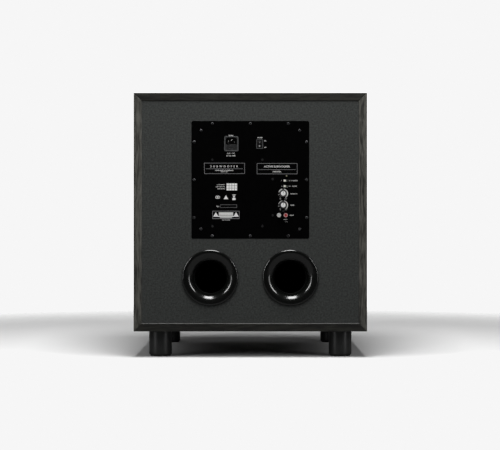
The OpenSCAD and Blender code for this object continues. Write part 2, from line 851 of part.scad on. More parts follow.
// Spacers with a screw from the panel and another from the board in each
module board_fixings() {
  color("#c9a94e") on_amp(0, 0) board_holes() {
    tube(3, board_screw_r + fit, board_face, panel_back);
    translate([0, 0, panel_face]) screw(2.6, 1.2, board_screw_r, amp_t + spacer_h / 2 - 1, 1);
    translate([0, 0, board_face - board_t]) rotate([180, 0, 0])
      screw(2.6, 1.6, board_screw_r, board_t + spacer_h / 2 - 1, 1);
  }
}

fin_n = 9;

// Extruded heatsink that stands on the board with its fins along it
module heatsink() {
  color("#9ea1a4") on_amp(board_u - 36, board_v + 8) {
    block(5, 110, part_face - 62, part_face);
    for (i = [0:fin_n - 1]) translate([10, (i - (fin_n - 1) / 2) * 12])
      block(15 + 2 * eps, 2, part_face - 62, part_face - 4);
  }
}

module reservoir_capacitors() {
  color("#22314d") on_amp(board_u, board_v) for (i = [0, 1], j = [0, 1])
    translate([8 + i * 32, -30 - j * 32]) disc(14, part_face - 45, part_face);
}

// Ferrite transformer: a bobbin through a square core
module power_transformer() {
  color("#a07c3a") on_amp(board_u + 22, board_v + 40) difference() {
    union() {
      block(52, 44, part_face - 38, part_face - 6);
      block(36, 60, part_face - 34, part_face - 10);
      corners(22, 18) disc(1.5, part_face - 7, part_face);
    }
    for (side = [-1, 1]) translate([side * 24, 0]) block(8, 30, part_face - 40, part_face);
  }
}

// ---------------------------------------------------------------- amplifier: mains inlet and fuse

bezel_w = 31;
bezel_h = 33;
bezel_t = 2.2;
inlet_depth = 30;
socket_v = 6.2;
socket_w = 24.4;
socket_h = 16.8;
socket_cut = 4.5;
socket_depth = 17;
drawer_v = -9.8;
drawer_w = 22;
drawer_h = 8.6;
drawer_l = 26;
fuse_l = 20;
fuse_r = 2.6;
inlet_face = panel_face + bezel_t;

// The recess that the mains plug enters: a rectangle with its two upper corners cut off
module socket_shape() {
  polygon([
    [-socket_w / 2, -socket_h / 2], [socket_w / 2, -socket_h / 2], [socket_w / 2, socket_h / 2 - socket_cut],
    [socket_w / 2 - socket_cut, socket_h / 2], [-socket_w / 2 + socket_cut, socket_h / 2],
    [-socket_w / 2, socket_h / 2 - socket_cut]
  ]);
}

module inlet_socket() {
  color("#0a0a0a") on_amp(inlet_u, inlet_v) difference() {
    union() {
      round_plate(bezel_w, bezel_h, 2, panel_face, inlet_face);
      block(inlet_hole_w - 0.4, inlet_hole_h - 0.4, inlet_face - inlet_depth, panel_face + eps);
    }
    translate([0, socket_v, inlet_face - socket_depth]) linear_extrude(socket_depth + eps) socket_shape();
    translate([0, drawer_v, 0])
      block(drawer_w, drawer_h, inlet_face - drawer_l - 1, inlet_face + eps);
    inlet_pin_places() block(2.1, 4.1, inlet_face - inlet_depth - eps, inlet_face - socket_depth + eps);
  }
}

module inlet_pin_places() {
  for (p = [[-7, socket_v - 2.5], [7, socket_v - 2.5], [0, socket_v + 2]]) translate(p) children();
}

module inlet_pins() {
  color("#c4c6c8") on_amp(inlet_u, inlet_v) inlet_pin_places()
    block(2, 4, inlet_face - inlet_depth - 7, inlet_face - 5);
}

// Pull-out tray for the fuse, with a finger notch in its face
module fuse_drawer() {
  color("#17181a") on_amp(inlet_u, inlet_v + drawer_v) difference() {
    block(drawer_w - 2 * slip, drawer_h - 2 * slip, inlet_face - drawer_l, inlet_face);
    translate([0, 0.6, 0]) block(fuse_l + 0.2, drawer_h - 1.2, inlet_face - 10, inlet_face - 3);
    block(7, 2.4, inlet_face - 1.5, inlet_face + eps);
  }
}

module fuse() {
  color("#dfe3e6") on_amp(inlet_u, inlet_v + drawer_v)
    translate([-fuse_l / 2, 1.2 + fit - drawer_h / 2 + fuse_r, inlet_face - 6.5]) rotate([0, 90, 0])
      cylinder(r = fuse_r, h = fuse_l);
}

// ---------------------------------------------------------------- amplifier: power switch

switch_w = 15;
switch_h = 21;
switch_t = 1.8;
well_w = 10.8;
well_h = 16.6;
rocker_pin_r = 1.2;
rocker_axis = panel_face - 1.2;
rocker_tilt = rocker_turn / 2;

module switch_housing() {
  color("#0a0a0a") on_amp(rocker_u, rocker_v) difference() {
    union() {
      round_plate(switch_w, switch_h, 1.2, panel_face, panel_face + switch_t);
      block(rocker_hole_w - 0.4, rocker_hole_h - 0.4, panel_face - 17, panel_face + eps);
    }
    block(well_w, well_h, panel_face - 9, panel_face + switch_t + eps);
    translate([-well_w / 2 - 1.2, 0, rocker_axis]) rotate([0, 90, 0])
      cylinder(r = rocker_pin_r + fit, h = well_w + 2.4);
  }
}

rocker_l = well_h - 2 * 0.9;
rocker_w = well_w - 2 * slip;

// Paddle on two trunnions. Its face is a shallow V, and at rest the upper end stands out
module power_rocker() {
  color("#141415") on_amp(rocker_u, rocker_v) translate([0, 0, rocker_axis]) rotate([rocker_tilt, 0, 0]) {
    translate([-rocker_w / 2, 0, 0]) rotate([90, 0, 90]) linear_extrude(rocker_w) polygon([
      [-rocker_l / 2 + 0.2, -1.5], [-rocker_l / 2 + 0.6, 4.6], [0, 3.2], [rocker_l / 2 - 0.6, 4.6],
      [rocker_l / 2 - 0.2, -1.5], [2, -4], [-2, -4]
    ]);
    translate([-well_w / 2 - 0.8, 0, 0]) rotate([0, 90, 0])
      cylinder(r = rocker_pin_r, h = well_w + 1.6);
  }
}

// ---------------------------------------------------------------- amplifier: signal controls

slider_w = 4.4;
slider_out = 3;
slide_body_t = 7;

module slide_switch_bodies() {
  color("#8d9092") for (v = [phase_v, mode_v]) on_amp(switch_u, v) difference() {
    block(17, 7.6, panel_back - slide_body_t, panel_back);
    block(slider_w + slide_travel + 2 * slip, slot_h - 0.6, panel_back - 4, panel_back + eps);
  }
}

module slider(v) {
  color("#e9e6da") on_amp(switch_u - slide_travel / 2, v) {
    block(slider_w, slot_h - 0.6 - slip, panel_back - 3.6, panel_face + slider_out);
  }
}

module phase_slider() {
  slider(phase_v);
}

module mode_slider() {
  slider(mode_v);
}

shaft_r = 3;
shaft_top = panel_face + 11;
pot_w = 13;

// Rotary controls: a body on the board and a bush through the panel, one for each knob
module potentiometers() {
  color("#5d6062") for (v = [crossover_v, level_v]) on_amp(knob_u, v) difference() {
    union() {
      block(pot_w, pot_w, board_face, panel_back - 1);
      disc(bush_r, panel_back - 1 - eps, panel_face + 2);
    }
    disc(shaft_r + fit, board_face + 2, panel_face + 3);
  }
}

knob_floor = 2.5;

// A knob and the shaft that it is pressed on
module knob(v) {
  color("#161617") on_amp(knob_u, v) {
    difference() {
      union() {
        translate([0, 0, panel_face + knob_skirt_gap])
          cylinder(r1 = knob_d / 2, r2 = knob_d / 2 - 0.8, h = knob_h - knob_skirt_gap - 0.8);
        translate([0, 0, panel_face + knob_h - 0.8])
          cylinder(r1 = knob_d / 2 - 0.8, r2 = knob_d / 2 - 1.6, h = 0.8);
      }
      disc(bush_r + 0.8, panel_face, panel_face + knob_floor);
      disc(shaft_r, panel_face, shaft_top);
    }
    disc(shaft_r, board_face + 2.5, shaft_top);
  }
}

module crossover_knob() {
  knob(crossover_v);
}

module level_knob() {
  knob(level_v);
}

phono_out = 9.5;
phono_shell_r = phono_d / 2;

// A phono socket: coloured insulator through the panel, plated shell around it
module phono_jack(side, tint) {
  on_amp(jack_u + side * phono_pitch / 2, phono_v) {
    color(tint) difference() {
      union() {
        disc(phono_collar_r, panel_back, panel_face + 1);
        block(13, 10, board_face, panel_back);
        disc(phono_shell_r - 0.7, panel_face + 1 - eps, panel_face + phono_out - 0.8);
      }
      disc(1.65, panel_face, panel_face + phono_out);
    }
    color("#d8d9db")
      tube(phono_shell_r, phono_shell_r - 0.7 + fit, panel_face + 1, panel_face + phono_out);
  }
}

module white_phono_jack() {
  phono_jack(-1, "#f2f2f0");
}

module red_phono_jack() {
  phono_jack(1, "#c1121f");
}

module status_lamp() {
  color("#7c1a1a") on_amp(led_u, led_v) {
    disc(lamp_r, panel_back, panel_face + 0.6);
    disc(1.9, panel_back - 3, panel_back);
  }
}

// ---------------------------------------------------------------- wiring

speaker_lead_r = 2;

// Two leads from the main board, out through the amplifier's cover, through the brace's window and up
// to the woofer's terminals, side by side for most of the way
module speaker_leads() {
  board = [-lead_hole[0], y_rear + part_face, z_amp + lead_hole[1]];
  hole = [board[0], y_rear + cover_back, board[2]];
  window = [112, brace_y - brace_t / 2, z_mid + 20];
  for (side = [-1, 1]) {
    shift = [0, 0, side * 2.6];
    turn = 22.5 + side * terminal_turn;
    end = [0, y_front - wall_back(terminal_r) + 13, z_mid]
      + (terminal_r + 2) * [cos(turn), 0, sin(turn)];
    color(side > 0 ? "#a01818" : "#181818") sweep(smooth_path([
      board + shift, board + [0, -25, 0] + shift, hole + [0, 25, 0] + shift, hole + shift,
      hole + [0, -25, 0] + shift, window + [0, 70, 0] + shift, window + [0, 24, 0] + shift,
      window + [0, 8, 0] + shift, window + [0, -8, 0] + shift, window + [0, -24, 0] + shift,
      window + [0, -60, 0] + shift, end + [0, 50, 0], end + [0, 6, 0], end + [0, 4, 0],
      end + [0, 2, 0], end
    ], 6), speaker_lead_r, [0, 0, 1]);
  }
}

left_side_panel();
right_side_panel();
top_panel();
bottom_panel();
front_baffle();
rear_baffle();
window_brace();
glue_battens();
damping_pads();
foot_posts();
foot_pads();
foot_fixings();
left_port_flare();
right_port_flare();
port_tubes();
inner_port_flares();
woofer_basket();
woofer_gasket();
woofer_top_plate();
woofer_magnets();
woofer_yoke();
magnet_cover();
woofer_spider();
woofer_surround();
woofer_terminals();
woofer_screws();
woofer_cone();
dust_cap();
voice_coil_former();
voice_coil_winding();
tinsel_leads();
grille_frame();
grille_cloth();
grille_sockets();
amp_panel();
amp_gasket();
amp_panel_screws();
amp_cover();
main_board();
control_board();
board_fixings();
heatsink();
reservoir_capacitors();
power_transformer();
inlet_socket();
inlet_pins();
fuse_drawer();
fuse();
switch_housing();
power_rocker();
slide_switch_bodies();
phase_slider();
mode_slider();
potentiometers();
crossover_knob();
level_knob();
white_phono_jack();
red_phono_jack();
status_lamp();
speaker_leads();
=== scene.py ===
"""Powered subwoofer: the visual model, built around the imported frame.

Frame: +Z up, the back with the amplifier faces +Y and the front with the grille faces -Y. Metres
everywhere, except where a name ends in _mm.
"""

from __future__ import annotations

import json
import logging
import math
from dataclasses import dataclass
from enum import Enum
from typing import Any, Mapping, Sequence, Union

import bmesh
import bpy
import numpy as np
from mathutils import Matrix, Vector

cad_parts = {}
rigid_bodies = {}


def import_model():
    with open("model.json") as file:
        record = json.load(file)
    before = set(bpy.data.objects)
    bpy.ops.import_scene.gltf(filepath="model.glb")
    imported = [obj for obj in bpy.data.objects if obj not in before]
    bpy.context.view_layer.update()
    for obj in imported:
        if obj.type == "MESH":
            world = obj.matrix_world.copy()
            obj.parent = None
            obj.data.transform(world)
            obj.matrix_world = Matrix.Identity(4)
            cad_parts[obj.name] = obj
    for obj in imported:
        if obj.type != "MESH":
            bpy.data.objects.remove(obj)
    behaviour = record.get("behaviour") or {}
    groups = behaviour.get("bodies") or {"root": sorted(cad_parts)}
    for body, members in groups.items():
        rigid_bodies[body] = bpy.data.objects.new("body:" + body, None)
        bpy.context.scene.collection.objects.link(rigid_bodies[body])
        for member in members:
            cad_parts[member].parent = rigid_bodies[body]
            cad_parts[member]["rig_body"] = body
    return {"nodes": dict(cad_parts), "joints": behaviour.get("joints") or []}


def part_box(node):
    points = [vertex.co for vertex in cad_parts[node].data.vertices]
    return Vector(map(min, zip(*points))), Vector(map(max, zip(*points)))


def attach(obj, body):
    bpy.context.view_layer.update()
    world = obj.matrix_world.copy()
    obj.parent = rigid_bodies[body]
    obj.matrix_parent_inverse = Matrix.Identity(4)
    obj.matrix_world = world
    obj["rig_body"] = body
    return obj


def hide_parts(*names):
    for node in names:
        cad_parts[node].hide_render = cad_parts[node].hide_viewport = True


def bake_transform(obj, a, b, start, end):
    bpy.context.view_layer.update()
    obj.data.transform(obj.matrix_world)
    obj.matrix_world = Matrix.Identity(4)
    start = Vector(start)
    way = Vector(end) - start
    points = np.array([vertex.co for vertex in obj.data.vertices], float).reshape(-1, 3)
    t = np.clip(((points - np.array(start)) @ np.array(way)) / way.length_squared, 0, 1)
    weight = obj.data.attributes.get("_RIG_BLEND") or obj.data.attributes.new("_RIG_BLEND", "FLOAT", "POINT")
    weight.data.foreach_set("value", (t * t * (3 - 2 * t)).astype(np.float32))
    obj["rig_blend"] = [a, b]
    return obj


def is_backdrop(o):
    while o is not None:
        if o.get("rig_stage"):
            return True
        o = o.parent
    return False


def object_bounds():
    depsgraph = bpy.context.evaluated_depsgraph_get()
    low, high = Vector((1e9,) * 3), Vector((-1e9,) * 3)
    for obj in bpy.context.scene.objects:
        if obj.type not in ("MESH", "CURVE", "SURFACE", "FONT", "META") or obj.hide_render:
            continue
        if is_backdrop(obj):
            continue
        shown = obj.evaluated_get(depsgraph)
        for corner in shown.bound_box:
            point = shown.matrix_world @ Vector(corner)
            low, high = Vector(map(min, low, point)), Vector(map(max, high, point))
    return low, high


logging.basicConfig(level=logging.INFO, format="%(name)s: %(message)s")
log = logging.getLogger("subwoofer")

MM = 0.001
SEED = 20
CABINET = "cabinet"
MOVER = "moving_coil_and_cone"
ROW_UNITS = np.array([MM, MM, MM, MM, 1.0])

Triple = tuple[float, float, float]


# ---------------------------------------------------------------- materials


class Wire:
    """A value that runs through a material. Arithmetic on it adds the nodes that work it out."""

    def __init__(self, shade: "Shade", socket: bpy.types.NodeSocket) -> None:
        """Wraps one output socket of a tree."""
        self.shade = shade
        self.socket = socket

    def __add__(self, other: "Term") -> "Wire":
        """The sum."""
        return self.shade.math("ADD", self, other)

    def __radd__(self, other: "Term") -> "Wire":
        """The sum, with a plain number first."""
        return self.shade.math("ADD", other, self)

    def __sub__(self, other: "Term") -> "Wire":
        """The difference."""
        return self.shade.math("SUBTRACT", self, other)

    def __rsub__(self, other: "Term") -> "Wire":
        """The difference, with a plain number first."""
        return self.shade.math("SUBTRACT", other, self)

    def __mul__(self, other: "Term") -> "Wire":
        """The product."""
        return self.shade.math("MULTIPLY", self, other)

    def __rmul__(self, other: "Term") -> "Wire":
        """The product, with a plain number first."""
        return self.shade.math("MULTIPLY", other, self)

    def __pow__(self, other: "Term") -> "Wire":
        """The power."""
        return self.shade.math("POWER", self, other)

    def __abs__(self) -> "Wire":
        """The distance from nought."""
        return self.shade.math("ABSOLUTE", self)

    def sine(self) -> "Wire":
        """The sine, of radians."""
        return self.shade.math("SINE", self)

    def over(self, other: "Term") -> "Wire":
        """One where this is the greater, and nought elsewhere."""
        return self.shade.math("GREATER_THAN", self, other)

    def between(self, low: float, high: float) -> "Wire":
        """Nought below low, one above high, and a smooth step between."""
        return self.shade.wire(
            "ShaderNodeMapRange",
            {"interpolation_type": "SMOOTHSTEP"},
            {"Value": self, "From Min": low, "From Max": high},
        )


Term = Union[Wire, float, int]


class Shade:
    """The node tree of one material."""

    def __init__(self, name: str) -> None:
        """Starts an empty material.

        Args:
            name: The material's name.
        """
        self.material = bpy.data.materials.new(name)
        self.material.use_nodes = True
        self.tree = self.material.node_tree
        self.tree.nodes.clear()

    def node(
        self,
        kind: str,
        settings: Mapping[str, Any] | None = None,
        inputs: Mapping[Any, Any] | None = None,
    ) -> bpy.types.Node:
        """Makes any node.

        Args:
            kind: The node's type.
            settings: Its own properties, set first.
            inputs: What goes into its sockets, by name or number: a value or a wire.

        Returns:
            The node.
        """
        made = self.tree.nodes.new(kind)
        for key, value in (settings or {}).items():
            setattr(made, key, value)
        for key, value in (inputs or {}).items():
            if isinstance(value, Wire):
                self.tree.links.new(value.socket, made.inputs[key])
            else:
                made.inputs[key].default_value = value
        return made

    def wire(
        self,
        kind: str,
        settings: Mapping[str, Any] | None = None,
        inputs: Mapping[Any, Any] | None = None,
        out: Any = 0,
    ) -> Wire:
        """Makes a node and returns one of its outputs, by name or number."""
        return Wire(self, self.node(kind, settings, inputs).outputs[out])

    def math(self, operation: str, *terms: Term) -> Wire:
        """Works out one step of arithmetic."""
        return self.wire("ShaderNodeMath", {"operation": operation}, dict(enumerate(terms)))

    def place(self, scale: Triple = (1.0, 1.0, 1.0), point: Wire | None = None) -> Wire:
        """The point on the piece in metres, or another point, stretched."""
        source = point or self.wire("ShaderNodeTexCoord", out="Object")
        return self.wire("ShaderNodeMapping", {}, {"Vector": source, "Scale": scale})

    def along(self, axis: str, point: Wire | None = None) -> Wire:
        """One coordinate, X, Y or Z, of the point on the piece or of another point."""
        source = point or self.wire("ShaderNodeTexCoord", out="Object")
        return self.wire("ShaderNodeSeparateXYZ", {}, {"Vector": source}, axis)

    def noise(self, point: Wire, scale: float, detail: float = 2.0, rough: float = 0.5) -> Wire:
        """Soft noise from nought to one."""
        return self.wire(
            "ShaderNodeTexNoise", {},
            {"Vector": point, "Scale": scale, "Detail": detail, "Roughness": rough}
        )

    def cells(self, point: Wire, scale: float) -> Wire:
        """Distance to the nearest of a set of scattered points."""
        return self.wire("ShaderNodeTexVoronoi", {}, {"Vector": point, "Scale": scale}, "Distance")

    def blend(self, share: Term, low: Sequence[float] | Wire, high: Sequence[float] | Wire) -> Wire:
        """A colour between two, by the share of the second."""
        ends = [c if isinstance(c, Wire) else (*c, 1.0) for c in (low, high)]
        return self.wire(
            "ShaderNodeMix", {"data_type": "RGBA"}, {0: share, 6: ends[0], 7: ends[1]}, 2
        )

    def relief(self, height: Wire, depth: float) -> Wire:
        """A surface normal from a height between nought and one, as deep as depth in metres."""
        return self.wire(
            "ShaderNodeBump", {}, {"Height": height, "Distance": depth, "Strength": 1.0}
        )

    def finish(self, **inputs: Any) -> bpy.types.Material:
        """Ends the tree in one shader. An input is named in lower case, with _ for a space.

        Returns:
            The finished material.
        """
        names = {
            "ior": "IOR", "specular": "Specular IOR Level", "sheen": "Sheen Weight",
            "coat": "Coat Weight"
        }
        sockets = {
            names.get(key, key.replace("_", " ").title()): value for key, value in inputs.items()
        }
        shader = self.wire("ShaderNodeBsdfPrincipled", {}, sockets)
        self.node("ShaderNodeOutputMaterial", {}, {"Surface": shader})
        return self.material


class Grain(Enum):
    """The way that a board's grain runs, as the stretch of its pattern along X, Y and Z."""

    ACROSS = (0.03, 1.0, 1.0)
    DEEP = (1.0, 0.03, 1.0)
    UPRIGHT = (1.0, 1.0, 0.03)


@dataclass(frozen=True)
class Finish:
    """A surface with a slight mottle in its colour and gloss, and a fine skin texture."""

    name: str
    colour: Triple
    second: Triple | None = None
    mottle: float = 90.0
    roughness: float = 0.5
    swing: float = 0.08
    metallic: float = 0.0
    specular: float = 0.5
    skin: float = 1800.0
    depth: float = 0.00003
    stretch: Triple = (1.0, 1.0, 1.0)
    coat: float = 0.0
    sheen: float = 0.0

    def paint(self, shade: Shade) -> bpy.types.Material:
        """Builds the tree.

        Args:
            shade: The empty tree.

        Returns:
            The material.
        """
        point = shade.place(self.stretch)
        cloud = shade.noise(point, self.mottle, 4.0)
        fine = shade.noise(point, self.skin, 2.0)
        low = self.second or tuple(0.72 * c for c in self.colour)
        colour = shade.blend((cloud * 0.6 + fine * 0.4).between(0.3, 0.7), low, self.colour)
        return shade.finish(
            base_color=colour,
            roughness=self.roughness + (cloud - 0.5) * (2.0 * self.swing),
            metallic=self.metallic,
            specular=self.specular,
            coat=self.coat,
            sheen=self.sheen,
            normal=shade.relief(fine, self.depth),
        )

    def material(self) -> bpy.types.Material:
        """The finish's material, built once and shared by the pieces that have it."""
        label = f"{self.name}_finish"
        return bpy.data.materials.get(label) or self.paint(Shade(label))


@dataclass(frozen=True)
class AshWrap(Finish):
    """Printed and embossed black ash: broad bands, streaks, fine fibres and short open pores."""

    grain: Grain = Grain.UPRIGHT

    def paint(self, shade: Shade) -> bpy.types.Material:
        """Bands, streaks and fibres are noise stretched along the grain, on a point that wanders a
        few millimetres from side to side. Pores are the peaks of a finer noise, less stretched."""
        drift = shade.wire(
            "ShaderNodeTexNoise", {}, {"Vector": shade.place(), "Scale": 7.0, "Detail": 2.0},
            "Color",
        )
        shift = shade.wire(
            "ShaderNodeVectorMath", {"operation": "SCALE"}, {0: drift, "Scale": 0.02}
        )
        long = shade.wire(
            "ShaderNodeVectorMath", {"operation": "ADD"}, {0: shade.place(), 1: shift}
        )
        point = shade.place(self.grain.value, long)
        short = tuple(0.1 if s < 1.0 else 1.0 for s in self.grain.value)
        bands = shade.noise(point, 70.0, 2.0)
        streaks = shade.noise(shade.place(short, long), 260.0, 3.0, 0.6)
        fibre = shade.noise(point, 1100.0, 2.0, 0.6)
        pores = shade.noise(shade.place(short), 1500.0, 1.0).between(0.58, 0.7)
        tone = (bands * 0.3 + streaks * 0.45 + fibre * 0.25).between(0.4, 0.6)
        return shade.finish(
            base_color=shade.blend(tone * (1.0 - pores * 0.6), self.second, self.colour),
            roughness=self.roughness + (0.5 - fibre) * 0.25 + pores * 0.15,
            specular=self.specular,
            normal=shade.relief(streaks * 0.5 + fibre * 0.3 - pores * 0.4, self.depth),
        )


@dataclass(frozen=True)
class BoardWood(Finish):
    """Bare wood or fibreboard, with grain along one direction."""

    grain: Grain = Grain.ACROSS

    def paint(self, shade: Shade) -> bpy.types.Material:
        """Growth bands and fibres, both noise stretched along the grain."""
        point = shade.place(self.grain.value)
        bands = shade.noise(point, 60.0, 3.0, 0.6)
        fibre = shade.noise(point, 900.0, 2.0, 0.6)
        colour = shade.blend(
            (bands * 0.7 + fibre * 0.3).between(0.3, 0.7), self.second, self.colour
        )
        return shade.finish(
            base_color=colour, roughness=self.roughness, normal=shade.relief(fibre, self.depth)
        )


@dataclass(frozen=True)
class TurnedMetal(Finish):
    """Metal turned on a lathe about Y: fine rings, from the distance to the piece's own axis."""

    axis: tuple[float, float] = (0.0, 0.0)

    def paint(self, shade: Shade) -> bpy.types.Material:
        """Rings are the sine of the distance from the axis, broken by a little noise."""
        x = shade.along("X") - self.axis[0]
        z = shade.along("Z") - self.axis[1]
        far = (x * x + z * z) ** 0.5
        cloud = shade.noise(shade.place(), 400.0, 3.0)
        rings = (far * (2.0 * math.pi / 0.00035) + cloud * 3.0).sine() * 0.5 + 0.5
        low = tuple(0.8 * c for c in self.colour)
        return shade.finish(
            base_color=shade.blend(cloud, low, self.colour),
            roughness=self.roughness + (rings - 0.5) * 0.1 + (cloud - 0.5) * self.swing,
            metallic=self.metallic,
            normal=shade.relief(rings, self.depth),
        )


@dataclass(frozen=True)
class Weave(Finish):
    """Plain woven cloth on the piece's UV map, which is in metres."""

    pitch: float = 0.0011

    def paint(self, shade: Shade) -> bpy.types.Material:
        """Each thread is the rounded hump of a cosine, and a checker of signs says which lies on top. The
        colour follows the hump too, darker towards each thread's edges and in the hollows between threads:
        painted shade. The slub noise is the yarn's own uneven tone."""
        flat = shade.wire("ShaderNodeTexCoord", out="UV")
        u = shade.along("X", flat) * (math.pi / self.pitch)
        v = shade.along("Y", flat) * (math.pi / self.pitch)
        warp, weft = abs(u.sine()), abs(v.sine())
        top = ((u * 0.5).sine() * (v * 0.5).sine()).over(0.0)
        hump = warp * top + weft * (1.0 - top)
        slub = shade.noise(shade.place(), 240.0, 3.0)
        colour = shade.blend(hump * 0.7 + slub * 0.3, self.second, self.colour)
        return shade.finish(
            base_color=colour,
            roughness=self.roughness - hump * 0.12,
            sheen=self.sheen,
            normal=shade.relief(hump * 0.8 + slub * 0.2, self.depth),
        )


@dataclass(frozen=True)
class Windings(Finish):
    """Turns of wire stacked along Y, darker in the grooves between turns: painted shade."""

    turn: float = 0.0007

    def paint(self, shade: Shade) -> bpy.types.Material:
        """Each turn is the rounded hump of a sine along Y. The colour follows the hump too, darker in the
        grooves between turns: painted shade.
        """
        hump = abs((shade.along("Y") * (math.pi / self.turn)).sine())
        colour = shade.blend(hump, self.second, self.colour)
        return shade.finish(
            base_color=colour, roughness=self.roughness, metallic=self.metallic,
            normal=shade.relief(hump, self.depth)
        )


@dataclass(frozen=True)
class TrackBoard(Finish):
    """Circuit board: tracks under the lacquer, on a square raster."""

    def paint(self, shade: Shade) -> bpy.types.Material:
        """Tracks are the narrow middles of cells on a raster, bent by blocky noise."""
        x = shade.along("X") * 260.0
        z = shade.along("Z") * 260.0
        cloud = shade.cells(shade.place(), 55.0)
        pattern = ((x + cloud * 6.0).sine() * (z - cloud * 6.0).sine()).between(0.1, 0.25)
        colour = shade.blend(pattern, self.second, self.colour)
        return shade.finish(
            base_color=colour, roughness=self.roughness + (0.5 - cloud) * 0.1, coat=0.4,
            normal=shade.relief(pattern, self.depth)
        )


